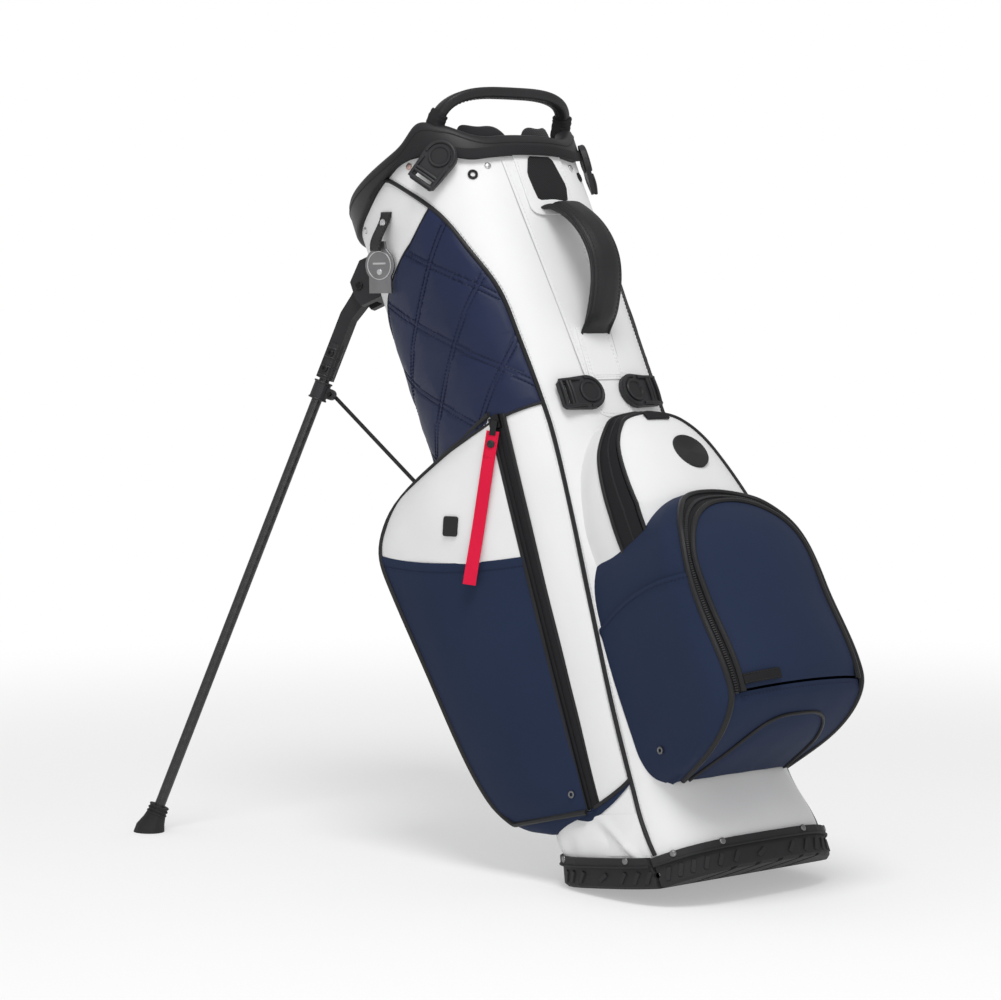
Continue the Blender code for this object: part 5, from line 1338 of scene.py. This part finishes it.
def pocket_badge(face):
    """The bare badge on the near pocket, square to the ground."""
    badge = plate(rounded(0.0095, 0.0115, 0.003), [(0, -0.0015), (0, 0.0008), (0.0006, 0.0014), (0.002, 0.0015)])
    out = (Vector(face[16][21]) - Vector(face[16][19])).cross(Vector(face[18][20]) - Vector(face[14][20]))
    out = out.normalized() * (1 if out.y < 0 else -1)
    rise = (-WORLD_DOWN - out * out.dot(-WORLD_DOWN)).normalized()
    place = axes(Vector(face[16][20]) + out * 0.0012, rise.cross(out), rise, out)
    make("pocket_badge", moved(badge, place), RUBBER)


def ribbon(side, name):
    """The pull: a tape on the slider, hanging plumb, with its snap and link."""
    rider = "slider_" + name
    hang = (WORLD_DOWN + Vector((0, 0.20, 0))).normalized()
    wide = hang.cross((ZIP_OUT + Vector((0.55, 0, 0))).normalized()).normalized()
    thick = wide.cross(hang).normalized()
    if thick.dot(ZIP_OUT) < 0:
        thick = -thick
    eye = zip_point(ZIP_HEAD - SLIDER_LENGTH / 2 - ZIP_HALF_WIDTH) + ZIP_OUT * 0.0091
    top = eye + hang * 0.011

    def tape(share, across):
        u = across * 2 - 1
        sway = 0.0016 * math.sin(2.6 * share * math.pi) * share + 0.0008 * u * math.sin(4 * share)
        return flip(top + hang * (RIBBON_LENGTH * share) + wide * (u * RIBBON_WIDTH / 2) + thick * sway, side)

    def bar(share, across):
        return flip(eye + hang * (0.017 * share - 0.001) + wide * (0.0036 * (across * 2 - 1)) + thick * 0.0012, side)

    piece = cloth("ribbon_" + name, RED, 0.0009, 61, 9, tape, body=rider, sharp=60)
    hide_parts("zip_ribbon_" + name)
    lines = []
    left, right, high, low = -0.0056, 0.0056, 0.004, 0.030
    for ends in (((left, high), (left, low)), ((right, high), (right, low)),
                 ((left, high), (right, high)), ((left, low), (right, low))):
        line = [top + hang * s + wide * u + thick * 0.0003 for u, s in ends]
        lines.append(mirror_line((line, [thick] * 2), side))
    threads = sew("ribbon_stitches_" + name, lines, FINE_STEP, RED, FINE_STITCH, body=rider)
    button = turned([(0, -0.0012), (0.0045, -0.0012), (0.0045, 0.0006), (0.0036, 0.0014), (0.0020, 0.0017),
                     (0, 0.0015)], 20)
    spot = top + hang * 0.015 + thick * 0.0008
    snap = make("ribbon_snap_" + name, moved(button, axes(*mirror((spot, wide, hang, thick), side))), PLASTIC, rider)
    cloth("ribbon_link_" + name, DARK_STEEL, 0.0018, 7, 7, bar, body=rider)


# Pockets on the spine

def ball_half(z):
    return BALL_HALF_WIDTH * smooth_value(BALL_WIDE, (z - BALL_FOOT) / (BALL_HEAD - BALL_FOOT))


def ball_side(z):
    """Half the width of the pocket's front edge."""
    return 0.945 * ball_half(z)


def ball_x(y, z):
    """How far the ball pocket's face reaches at a place, eased back at its corners."""
    share = smooth_value(BALL_RISE, (z - BALL_FOOT) / (BALL_HEAD - BALL_FOOT))
    s = y / (0.96 * ball_half(z))
    return BALL_REACH * share + BALL_CROWN * share * (1 - s * s) - 0.004 * min(abs(s) / 0.98, 1) ** 8


def ball_point(y, z, lift=0.0):
    point = Vector((ball_x(y, z), y, z))
    if lift:
        slope_y = (ball_x(y + 0.002, z) - ball_x(y - 0.002, z)) / 0.004
        slope_z = (ball_x(y, z + 0.002) - ball_x(y, z - 0.002)) / 0.004
        point += Vector((1, -slope_y, -slope_z)).normalized() * lift
    return point


def drop_outline(grow):
    """The drop panel's edge from its near foot over the top to its far foot, as sideways place and height."""
    half, radius = DROP_WIDE + grow, DROP_ROUND + grow
    turn = DROP_TOP + grow - radius
    heights = spread(DROP_FOOT, turn, 20)[:-1]
    points = [(-half, height) for height in heights]
    for hand, start in ((-1, 180), (1, 90)):
        for degrees in spread(start, start - 90, 20):
            angle = math.radians(degrees)
            points.append((hand * (half - radius) + radius * math.cos(angle), turn + radius * math.sin(angle)))
    return points + [(half, height) for height in reversed(heights)]


def front_edge(foot):
    """The ball pocket's front edge from its near foot over the top to its far foot."""
    left = [(-ball_side(z), z) for z in spread(foot, BALL_SHOULDER, 40)]
    wide = -left[-1][0]
    arc = []
    for angle in spread(0, math.pi, 40)[1:-1]:
        c, s = math.cos(angle), math.sin(angle)
        arc.append((-math.copysign(abs(c) ** 0.86, c) * wide, BALL_SHOULDER + BALL_ARCH * s ** 0.86))
    return left + arc + [(-y, z) for y, z in reversed(left)]


def resample(points, count):
    """Evenly spaced points along a run of sideways places and heights."""
    points = [Vector((*p, 0)) for p in points]
    gone = lengths(points)
    result, k = [], 0
    for due in spread(0, gone[-1], count - 1):
        while k < len(points) - 2 and gone[k + 1] < due:
            k += 1
        share = (due - gone[k]) / max(gone[k + 1] - gone[k], 1e-9)
        result.append(points[k].lerp(points[k + 1], min(max(share, 0), 1)))
    return result


def ball_arch(y):
    """Height of the arched seam on the pocket's lower band."""
    return 0.094 - 0.030 * min(abs(y) / 0.076, 1) ** 3.5


def gusset_point(y, z, share):
    """From the ball pocket's front edge back to the body, flat at the sides and sloping over the top."""
    front = ball_point(y, z)
    over = ease((z - 0.270) / 0.090)
    root_y = mix(math.copysign(min(ball_half(z), 0.1265), y), y * 1.06, over)
    root_z = z + 0.012 * over
    root = on_body(spine_degrees(root_z, root_y), root_z, -0.0005)
    root.y = root_y
    point = front.lerp(root, share)
    point.y = mix(front.y, root.y, ease(share / 0.16)) if over < 1 else point.y
    out = Vector((0, math.copysign(1 - over, y), over))
    point += out * (0.0035 * math.sin(math.pi * share ** 0.45))
    return point + out * soft(point, 0.0010, 24) * math.sin(math.pi * share)


def ball_pocket():
    edge = resample(front_edge(DROP_FOOT), EDGE_POINTS)
    drop = resample(drop_outline(0.0012), EDGE_POINTS)
    rows = []
    for i in range(9):
        spots = [inner.lerp(outer, i / 8) for inner, outer in zip(drop, edge)]
        rows.append([ball_point(p.x, p.y, 0.0006 - 0.0012 * math.sin(math.pi * i / 8)) for p in spots])
    make("ball_zip_tape", shell(rows, 0.0016), TAPE)
    line = [inner.lerp(outer, 0.44) for inner, outer in zip(drop, edge)]
    points = [ball_point(p.x, p.y, 0.0004) for p in line]
    outs = [(ball_point(p.x, p.y, 0.01) - ball_point(p.x, p.y)).normalized() for p in line]
    slab = plate(rounded(0.0009, 0.0022, 0.0003, 1), [(0, -0.0006), (0, 0.0006), (0.0004, 0.0012)])
    repeats("ball_zip_teeth", walk(points, outs, 0.0027), slab, PLASTIC)

    def low(up, across):
        z = mix(BALL_FOOT + 0.0005, DROP_FOOT - 0.0014, up)
        half = ball_side(z)
        y = mix(-half, half, across)
        swell = 0.0025 * ease((ball_arch(y) - z) / 0.010) * math.sin(math.pi * across) ** 0.5
        hem = 0.0008 * bump(z, DROP_FOOT - 0.010, 0.003)
        lift = 0.0006 + swell + hem + soft((y, z, 1), 0.0008, 30)
        return ball_point(y, z, mix(-0.0024, lift, ease((DROP_FOOT - z) / 0.016)))

    cloth("ball_lower_band", NAVY, 0.0030, 33, 61, low)
    arch = [ball_point(y, ball_arch(y), 0.0016) for y in spread(-0.074, 0.074, 60)]
    make("ball_arch_piping", tube(arch, 0.0021), PIPING)
    hem = [ball_point(y, DROP_FOOT - 0.0050, 0.0012) for y in spread(-0.088, 0.088, 50)]
    sew("ball_hem_stitches", [(hem, [SPINEWARD] * len(hem))], STITCH_STEP, THREAD_NAVY)
    rim = resample(front_edge(BALL_FOOT + 0.0005), 221)
    piped = smooth_run([ball_point(p.x, p.y) + Vector((0.001, 0, 0)) for p in rim], 3)
    make("ball_edge_piping", tube(piped, 0.0035), PIPING)
    rows = [[gusset_point(spot.x, spot.y, i / 24) for spot in rim] for i in range(25)]
    piece = make("ball_gusset", shell(rows, 0.0026), NAVY)
    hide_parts("ball_pocket")
    for side, name in SIDES:
        slip_pocket(side, name, rim)

    def back(up, across):
        return Vector((0.1185 + 0.0010 * up, mix(-0.080, 0.080, across), mix(0.125, 0.320, up)))

    cloth("ball_lining", LINING, 0.0010, 3, 21, back)


def slip_pocket(side, name, rim):
    """The open pocket on the ball pocket's side, its stitched hem and the eyelet below."""
    column = sorted((spot for spot in rim if spot.x * side > 0 and spot.y < 0.300), key=lambda spot: spot.y)
    foot, head = column[0].y, column[-1].y
    rows = []
    for spot in resample([(s.x, s.y) for s in column], 41):
        row = []
        for share in spread(0, 1, 30):
            mouth = 0.262 + 0.010 * math.sin(math.pi * share) - 0.006 * share
            height = mix(BALL_FOOT + 0.004, mouth, (spot.y - foot) / (head - foot))
            hem = bump(height, mouth - 0.003, 0.004)
            stand = 0.0022 + 0.0016 * hem + 0.0020 * math.sin(math.pi * share)
            row.append(gusset_point(side * ball_side(height), height, share) + Vector((0, side, 0)) * stand)
        rows.append(row)
    make("ball_slip_pocket_" + name, shell(rows, 0.0018), NAVY)
    out = Vector((0, side, 0))
    sew("ball_slip_stitches_" + name, [(rows[-2], [out] * len(rows[-2]))], STITCH_STEP, THREAD_NAVY)
    spot = gusset_point(side * ball_side(0.100), 0.100, 0.72) + out * 0.0058
    repeats("ball_eyelet_" + name, [(spot, UP, out)], eyelet(), GUNMETAL)


def drop_panel():
    """The padded panel of the ball pocket, with its piped edge and pull."""
    rider = "drop_panel"
    top = DROP_TOP - 0.0012

    def face(up, across):
        z = mix(DROP_FOOT + 0.0016, DROP_TOP - 0.0016, up)
        half = DROP_WIDE - 0.0012
        if z > top - DROP_ROUND:
            half += math.sqrt(max(DROP_ROUND ** 2 - (z - top + DROP_ROUND) ** 2, 1e-9)) - DROP_ROUND
        u = across * 2 - 1
        rise = (z - DROP_FOOT) / (DROP_TOP - DROP_FOOT)
        dome = (1 - abs(u) ** 2.6) * (1 - abs(rise * 2 - 1) ** 3)
        lift = 0.0012 + 0.0050 * dome + soft((u * half, z, 2), 0.0016, 15) * dome
        return ball_point(u * half, z, mix(-0.0016, lift, ease((z - DROP_FOOT) / 0.018)))

    piece = cloth("drop_panel_soft", NAVY, 0.0040, 70, 71, face, body=rider)
    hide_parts("ball_pocket_panel")
    run = [ball_point(y, z, 0.0020) for y, z in drop_outline(-0.0012)]
    make("drop_panel_piping", tube(smooth_run(run, 2), 0.0033), PIPING, rider)
    height = DROP_FOOT + 0.0125

    def tab(up, across):
        return ball_point(-DROP_WIDE + 0.003 + 0.046 * across, height - 0.0065 + 0.011 * up,
                          0.0046 + 0.0010 * math.sin(math.pi * across))

    pull = cloth("panel_pull_tab", TAPE, 0.0016, 9, 33, tab, body=rider)
    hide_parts("panel_pull")
    lines = [([ball_point(y, z, 0.0054) for y in spread(-0.083, -0.041, 12)], [SPINEWARD] * 13)
             for z in (height - 0.0053, height + 0.0033)]
    sew("pull_stitches", lines, FINE_STEP, THREAD_BLACK, FINE_STITCH, body=rider)


def upper_half(z):
    return max(smooth_value(UPPER_WIDE, z), 0)


def upper_point(y, z, lift=0.0):
    share = smooth_value(UPPER_RISE, (z - UPPER_FOOT) / (UPPER_HEAD - UPPER_FOOT))
    s = y / 0.088
    return Vector((UPPER_REACH * share - 0.015 * s * s - 0.002 + lift, y + UPPER_SHIFT, z + lift * 0.5))


def upper_edge():
    heights = [mix(UPPER_LOW, UPPER_TOP, 1 - (1 - share) ** 2) for share in spread(0, 1, 60)]
    left = [(-upper_half(z), z) for z in heights]
    return resample(left + [(-y, z) for y, z in reversed(left[:-1])], EDGE_POINTS)


def upper_over(spot):
    """How far the upper pocket's wall has turned from its side to its top."""
    return ease((spot.y - 0.445) / 0.034)


def upper_pocket():
    def face(up, across):
        z = mix(UPPER_LOW, UPPER_TOP - 0.0005, 1 - (1 - up) ** 1.6)
        u = across * 2 - 1
        y = u * upper_half(z)
        dome = (1 - abs(u) ** 3) * math.sin(math.pi * min(up * 0.9 + 0.1, 1)) ** 0.6
        return upper_point(y, z, 0.0036 * dome + soft((y, z, 4), 0.0014, 18) * dome)

    def lining(up, across):
        y = mix(-0.086, 0.086, across)
        return upper_point(y - UPPER_SHIFT, mix(0.292, 0.352 - 0.036 * (y / 0.086) ** 2, up), 0.0050)

    piece = cloth("upper_pocket_face", WHITE, 0.0026, 61, 61, face)
    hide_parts("upper_pocket")
    cloth("ball_lining_top", LINING, 0.0010, 9, 41, lining)
    rim = upper_edge()
    fronts = [upper_point(p.x, p.y) for p in rim]

    def wall_row(share, lift):
        row = []
        for spot, front in zip(rim, fronts):
            over = upper_over(spot)
            grow = Vector((0, math.copysign(1 - over, spot.x), over))
            degrees = spine_degrees(spot.y, max(min(spot.x * 1.08 + UPPER_SHIFT * 0.5, 0.12), -0.12))
            root = on_body(degrees, spot.y + 0.006 * over, -0.0005)
            swell = 0.0045 * math.sin(math.pi * min(share + 0.08, 1))
            row.append(front.lerp(root, share) + grow * (swell + lift))
        return row

    def wall(first, last, lift):
        return [wall_row(share, lift) for share in spread(first, last, 10)]

    make("upper_gusset", shell(wall(0.40, 1.0, 0), 0.0020), WHITE)
    make("upper_zip_band", shell(wall(0.02, 0.42, 0.0010), 0.0026), TAPE)
    make("upper_piping", join(tube([p + Vector((0.0008, 0, 0.0004)) for p in fronts], 0.0022),
                              tube(wall_row(0.42, 0.0012), 0.0022)), PIPING)
    outs = [Vector((0.2, math.copysign(1 - upper_over(spot), spot.x), upper_over(spot))).normalized() for spot in rim]
    repeats("upper_zip_teeth", walk(wall_row(0.19, 0.0006), outs, TOOTH_PITCH), tooth(0.0008, 0.0012), PLASTIC)
    cloth("upper_zip_garage", TAPE, 0.0022, 7, 11,
          lambda up, across: upper_point(mix(-0.012, 0.022, across), 0.4805 - 0.009 * up, 0.0046))
    disc = turned([(0, -0.003), (0.0235, -0.003), (0.0235, 0.0006), (0.0228, 0.0012), (0.0214, 0.0013),
                   (0.0208, 0.0008), (0, 0.0008)], 40)
    across = Vector((0, 1, 0))
    out = (upper_point(0.014, 0.426) - upper_point(0.014, 0.446)).cross(across).normalized()
    out = out if out.x > 0 else -out
    rise = out.cross(across).normalized()
    place = axes(upper_point(0.020, 0.4230, 0.0044), rise.cross(out), rise, out)
    make("upper_badge", moved(disc, place), RUBBER)


def hip_pad():
    """The ribbed mesh pad on the leg side."""
    def place(share, across):
        height = mix(PAD_FOOT, PAD_HEAD, share)
        u = across * 2 - 1
        half = PAD_HALF_WIDTH * (0.86 + 0.14 * min(min(share, 1 - share) / 0.06, 1))
        rim = min((1 - abs(u)) * half, share * 0.27, (1 - share) * 0.27)
        ribs = 0.75 + 0.25 * abs(math.cos(share * 9 * math.pi)) ** 0.4
        thick = PAD_THICKNESS * (0.30 + 0.70 * ease(rim / 0.012) * ribs)
        return on_body(180 - spine_degrees(height, u * half), height, thick - 0.001)

    rows = grid(81, 41, place)
    piece = make("hip_pad_soft", shell(rows, 0.0040), FOAM)
    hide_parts("hip_pad")
    rim = [row[0] for row in rows] + rows[-1] + [row[-1] for row in reversed(rows)] + rows[0][::-1]
    make("hip_pad_piping", tube(smooth_run(rim, 3), 0.0020), PIPING)


# Hardware: rivets, clips, tag, legs and base

def body_spots(places, offset):
    """Points on both sides of the body at degrees and heights, for rivets and eyelets."""
    spots = []
    for hand in (-1, 1):
        for degrees, height in places:
            out = body_out(hand * degrees, height)
            spots.append((on_body(hand * degrees, height) + out * offset, UP, out))
    return spots


def rivets():
    places = ((26, 0.8265), (66, 0.8225), (119, 0.836), (136, 0.815))
    repeats("body_rivets", body_spots(places, 0.0004), rivet(0.0016), STEEL)
    repeats("copper_rivets", body_spots([(74.5, 0.8590)], 0.0004), rivet(0.0016), COPPER)
    repeats("body_eyelets", body_spots([(36.5, 0.8195)], 0.0006), eyelet(0.0060, 0.0030), DARK_STEEL)


def collar_frame(degrees):
    """Axes on the collar: x round it, y up it, z out of it."""
    before, here, after = (outline_point(BODY_HEIGHT, math.radians(degrees + step), COLLAR_PROUD)
                           for step in (-1, 0, 1))
    around = (after - before).normalized()
    return axes(here, around, UP, around.cross(UP))


def clip_details(name, matrix, tail_deg):
    """Rim and post of the dish, and the ladder bars and rounded end of the buckle."""
    lip = turned([(0.0097, 0.0074), (0.0132, 0.0074), (0.0134, 0.0088), (0.0124, 0.0096), (0.0108, 0.0094),
                  (0.0097, 0.0080)], 32)
    post = turned([(0, 0.0050), (0.0052, 0.0050), (0.0050, 0.0066), (0.0040, 0.0072), (0, 0.0070)], 20)
    make("clip_dish_" + name, moved(join(lip, post), matrix), PLASTIC)
    turn = matrix @ Matrix.Rotation(math.radians(tail_deg), 4, "Z")
    angles = [math.radians(degrees) for degrees in spread(-100, 100, 32)]
    lines = [([Vector((0.0176 * math.cos(a), 0.0176 * math.sin(a), 0.0070)) for a in angles], 0.0021)]
    for x in (-0.0245, -0.0285, -0.0368):
        lines.append(([Vector((x, mix(-0.0150, 0.0150, share), 0.0078 + 0.0010 * math.sin(math.pi * share)))
                       for share in spread(0, 1, 10)], 0.0019))
    for y in (-0.0162, 0.0162):
        lines.append(([Vector((mix(-0.0385, -0.010, share), y, 0.0072 + 0.0012 * math.sin(math.pi * share)))
                       for share in spread(0, 1, 12)], 0.0021))
    bars = [tube(line, radius, [UP] * len(line)) for line, radius in lines]
    make("clip_ladder_" + name, moved(join(*bars), turn), PLASTIC, "clip_" + name)


def clips():
    for hand, name in SIDES:
        clip_details("top_" + name, collar_frame(hand * CLIP_TOP_DEG), 90 + hand * 55)
    for hand, name in SIDES:
        degrees = spine_degrees(CLIP_MID_HEIGHT, hand * CLIP_MID_Y)
        clip_details("mid_" + name, body_frame(degrees, CLIP_MID_HEIGHT), 90 + hand * 90)


def tag_rise(v):
    """How far the tag's strap stands off the bag, down its length."""
    return 0.0016 + 0.0170 * ease((0.026 - v) / 0.040)


def tag():
    """Snap and stitching on the strap tab; raised ring, bar and dot on the hanging tag."""
    matrix = body_frame(-TAG_DEG, TAG_HEIGHT)
    down = matrix.to_3x3().inverted() @ WORLD_DOWN
    turn = matrix @ Matrix.Rotation(math.atan2(down.x, -down.y), 4, "Z")
    snap = turned([(0, 0.0020), (0.0052, 0.0020), (0.0052, 0.0030), (0.0042, 0.0040), (0.0026, 0.0038),
                   (0.0018, 0.0046), (0, 0.0047)], 24)
    make("tag_snap", moved(snap, turn @ Matrix.Translation((0, TAG_SNAP, tag_rise(TAG_SNAP) - 0.0024))), STEEL)
    lines = [([turn @ Vector((u, v, tag_rise(v) + 0.0002)) for v in (-0.016, -0.006, 0.004, 0.014, 0.024)],
              [matrix.to_3x3() @ UP] * 5) for u in (-0.00868, 0.00868)]
    sew("tag_stitches", lines, 0.0042, THREAD_BLACK, FINE_STITCH)

    def arc(start):
        angles = [math.radians(start + 10 * k) for k in range(10)]
        return [(0.0205 * math.cos(a), TAG_CENTRE + 0.0205 * math.sin(a)) for a in angles]

    outline = [(0.0085, -0.0080), (-0.0085, -0.0080), (-0.0095, -0.0160), *arc(130), (-0.0160, -0.0690),
               (0.0160, -0.0690), *arc(-40), (0.0095, -0.0160)]
    body = plate(outline, [(0.0004, -0.0017), (0, -0.0012), (0, 0.0012), (0.0005, 0.0017), (0.003, TAG_FACE)])
    hung = turn @ Matrix.Translation((0, 0, 0.0118)) @ Matrix.Rotation(math.radians(TAG_TURN_DEG), 4, "Y")
    piece = make("tag_plate", moved(body, hung), TAG, "tag")
    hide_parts("bag_tag")
    dot = turned([(0, -0.0004), (0.0042, -0.0004), (0.0034, 0.0008), (0, 0.0009)], 20)
    bar = plate(rounded(0.0090, 0.0011, 0.0006, 2), [(0, -0.0004), (0, 0.0004), (0.0003, 0.0007)])
    relief = join(hoop((0, TAG_CENTRE, TAG_FACE), 0.0165, 0.0008, 40, sides=8),
                  moved(dot, Matrix.Translation((0, -0.0440, TAG_FACE))),
                  moved(bar, Matrix.Translation((0, -0.034, TAG_FACE))))
    make("tag_relief", moved(relief, hung), STEEL, "tag")

    def tab(up, across):
        v = mix(0.026, -0.019, up)
        return turn @ Vector((mix(-0.0105, 0.0105, across), v, tag_rise(v)))

    strap = cloth("tag_strap", LEATHER, 0.0018, 17, 9, tab)
    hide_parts("tag_tab")


def legs():
    """The legs' woven finish, their bolts and the ribs on arm, clamp and foot."""
    plane, opened = math.radians(LEG_PLANE_DEG), math.radians(LEG_OPEN_DEG)
    screw = turned([(0, -0.001), (0.0042, -0.001), (0.0042, 0.0012), (0.0032, 0.0020), (0.0016, 0.0020),
                    (0.0014, 0.0012), (0, 0.0012)], 18)
    ribs = [hoop((TUBE_OFFSET, 0, -0.0815 - 0.0115 * k), 0.0102, 0.0011, 28) for k in range(4)]
    ribs += [hoop((TUBE_OFFSET, 0, height), 0.0106, 0.0012, 28) for height in (-0.1245, -0.1455)]
    for side, name in SIDES:
        rider = "leg_" + name
        hinge = Vector((-LEG_HINGE[0], side * LEG_HINGE[1], LEG_HINGE[2]))
        out = Vector((-math.cos(plane), side * math.sin(plane), 0))
        up = UP * math.cos(opened) - out * math.sin(opened)
        face = out * math.cos(opened) + UP * math.sin(opened)
        matrix = axes(hinge, face, UP.cross(out), up)
        world = BAG @ matrix
        origin = world @ Vector((TUBE_OFFSET, 0, 0))
        weave = twill("leg_twill_" + name, origin, (world.to_3x3() @ UP).normalized(), TUBE_RADIUS)
        finish(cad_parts["leg_tube_" + name], weave)
        heads = []
        for u, hand in ((-0.088, 1), (-0.088, -1), (-0.108, 1), (-0.108, -1)):
            place = matrix @ Matrix.Translation((TUBE_OFFSET, hand * 0.0096, u))
            heads.append(moved(screw, place @ Matrix.Rotation(-hand * math.pi / 2, 4, "X")))
        make("leg_bolts_" + name, join(*heads), DARK_STEEL, rider)
        make("leg_ribs_" + name, moved(join(*ribs), matrix), PLASTIC, rider)
        length = -origin.z / (world.to_3x3() @ -UP).z
        rings = [hoop((TUBE_OFFSET, 0, rise - length), radius, 0.0010, 28, stretch=1.12)
                 for rise, radius in ((0.0335, 0.0106), (0.0290, 0.0108), (0.0245, 0.0109))]
        make("foot_ribs_" + name, moved(join(*rings), matrix), RUBBER, rider)


def base_point(degrees, offset, height):
    """A point round the base, seen from the flap's hinge."""
    point = outline_point(0, math.radians(degrees), offset)
    return Vector((point.x - HINGE_SPINE, point.y, height))


def outline_out(degrees):
    around = outline_point(0, math.radians(degrees + 1)) - outline_point(0, math.radians(degrees - 1))
    return around.cross(UP).normalized()


def base_details():
    """Rivets and a bead on the trim bands, blocks of tread on the sole's edge."""
    slab = plate(rounded(0.0072, 0.0026, 0.0010, 2), [(0, -0.0010), (0, 0.0010), (0.0006, 0.0016)])
    for name, body, matrix, degrees, first, last, count in (
            ("cup", "bag", HINGE, (-45, -15, 15, 45), -57, 57, 14),
            ("flap", "flap", FLAP_IN_BAG, (78, 112, 146, 180, 214, 248, 282), 64, 296, 30)):
        turn = matrix.to_3x3()
        spots = [(matrix @ base_point(d, BAND_OUT, RIM - 0.0028), turn @ UP, turn @ outline_out(d)) for d in degrees]
        repeats("base_rivets_" + name, spots, rivet(0.0014), GUNMETAL, body)
        bead = [matrix @ base_point(d, BAND_OUT + 0.0002, RIM - 0.0095) for d in spread(first, last, 120)]
        make("base_bead_" + name, tube(bead, 0.0013), RUBBER, body)
        spots = []
        for d in spread(first + 3, last - 3, count - 1):
            foot = base_point(d, CUP_OUT, -HINGE_DROP + 0.0035)
            head = base_point(d + 4.5, CUP_OUT, RIM - 0.0125)
            grounded = (FLAP @ foot).z < 0.004
            under_wire = foot.x < FLAP_END + 0.02 and abs(foot.y) < 0.045
            if name == "flap" and (grounded or under_wire):
                continue
            spots.append((matrix @ ((foot + head) / 2), turn @ (head - foot), turn @ outline_out(d)))
        repeats("base_treads_" + name, spots, slab, RUBBER, body)


FINISHES = (("clip_", PLASTIC), ("leg_bracket", PLASTIC), ("leg_arm", PLASTIC), ("rod_clamp", PLASTIC),
            ("rod_link", PLASTIC), ("foot_", RUBBER), ("base_", RUBBER), ("stay_", FIBRE), ("lift_wire", DARK_STEEL),
            ("push_rod", DARK_STEEL), ("pivot_pin", DARK_STEEL), ("flap_hinge_pin", STEEL), ("zip_slider", DARK_STEEL))


def finish(node, material):
    node.data.materials.clear()
    node.data.materials.append(material)


for node_name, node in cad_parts.items():
    for start, material in FINISHES:
        if node_name.startswith(start):
            finish(node, material)

body_skin()
skirt()
for hand, place_name in SIDES:
    quilt(hand, place_name)
    side_seams(hand, place_name)
    side_pocket(hand, place_name)
    ribbon(hand, place_name)
spine_panels()
collar()
grab_handle()
carry_handle()
mouth_pieces()
ball_pocket()
drop_panel()
upper_pocket()
hip_pad()
rivets()
clips()
tag()
legs()
base_details()


# Floor, light and camera

FLOOR_HALF = 30
FLOOR_LEVEL = -0.0002
FLOOR_FADE = (0.75, 2.4)
FLOOR_GLOW = (0.36, 1.0)
SOFT_LIGHT = 0.52
LAMPS = (("key", (2.8, -1.7, 0.6), 16, 1.4), ("fill", (0.6, -2.9, 0.9), 5, 1.8), ("top", (1.0, -0.8, 3.0), 45, 1.3))
LAMP_AIM = Vector((0, 0, 0.4))
CAMERA_PLACE = Vector((2.5490, -2.3479, 0.68))
CAMERA_AIM = Vector((-0.0556, -0.1624, 0.429))
LENS = 110
SENSOR = 36


def link(thing, place=(0, 0, 0), aim=None):
    """Put a lamp, camera or mesh into the scene, looking at a point if one is given."""
    holder = bpy.data.objects.new(thing.name, thing)
    holder.location = place
    if aim:
        holder.rotation_euler = (aim - Vector(place)).to_track_quat("-Z", "Y").to_euler()
    bpy.context.scene.collection.objects.link(holder)
    return holder


def floor():
    """A pale floor that keeps the shadow and turns plain white farther off."""
    g = Graph("studio_floor")
    far = g.node("VectorMath", {"operation": "LENGTH"}, {0: g.place}, "Value")
    share = g.node("MapRange", {"interpolation_type": "SMOOTHSTEP"}, dict(enumerate((far, *FLOOR_FADE, *FLOOR_GLOW))))
    pale = g.colour(g.noise(3.0), (0.97, 0.97, 0.97), (0.985, 0.985, 0.985))
    near = g.node("BsdfDiffuse", None, {"Color": pale})
    glow = g.node("Emission", None, {"Color": (1, 1, 1, 1), "Strength": 1.0})
    g.node("OutputMaterial", None, {"Surface": g.node("MixShader", None, {0: share, 1: near, 2: glow})})
    mesh = bpy.data.meshes.new("floor")
    corners = [(u * FLOOR_HALF, v * FLOOR_HALF, FLOOR_LEVEL) for u, v in ((-1, -1), (1, -1), (1, 1), (-1, 1))]
    mesh.from_pydata(corners, [], [(0, 1, 2, 3)])
    mesh.materials.append(g.material)
    link(mesh)


def studio():
    floor()
    world = bpy.data.worlds.new("studio")
    world.use_nodes = True
    tree = world.node_tree
    tree.nodes.clear()
    path, blend, out = (tree.nodes.new("ShaderNode" + kind) for kind in ("LightPath", "MixShader", "OutputWorld"))
    tree.links.new(path.outputs["Is Camera Ray"], blend.inputs[0])
    for k, strength in ((1, SOFT_LIGHT), (2, 1.0)):
        plain = tree.nodes.new("ShaderNodeBackground")
        plain.inputs["Color"].default_value = (1, 1, 1, 1)
        plain.inputs["Strength"].default_value = strength
        tree.links.new(plain.outputs[0], blend.inputs[k])
    tree.links.new(blend.outputs[0], out.inputs["Surface"])
    scene = bpy.context.scene
    scene.world = world
    for name, place, power, size in LAMPS:
        lamp = bpy.data.lights.new(name, "AREA")
        lamp.shape = "DISK"
        lamp.size = size
        lamp.energy = power
        link(lamp, place, LAMP_AIM)
    lens = bpy.data.cameras.new("camera")
    lens.lens = LENS
    lens.sensor_width = SENSOR
    scene.camera = link(lens, CAMERA_PLACE, CAMERA_AIM)
    scene.view_settings.view_transform = "Standard"


studio()
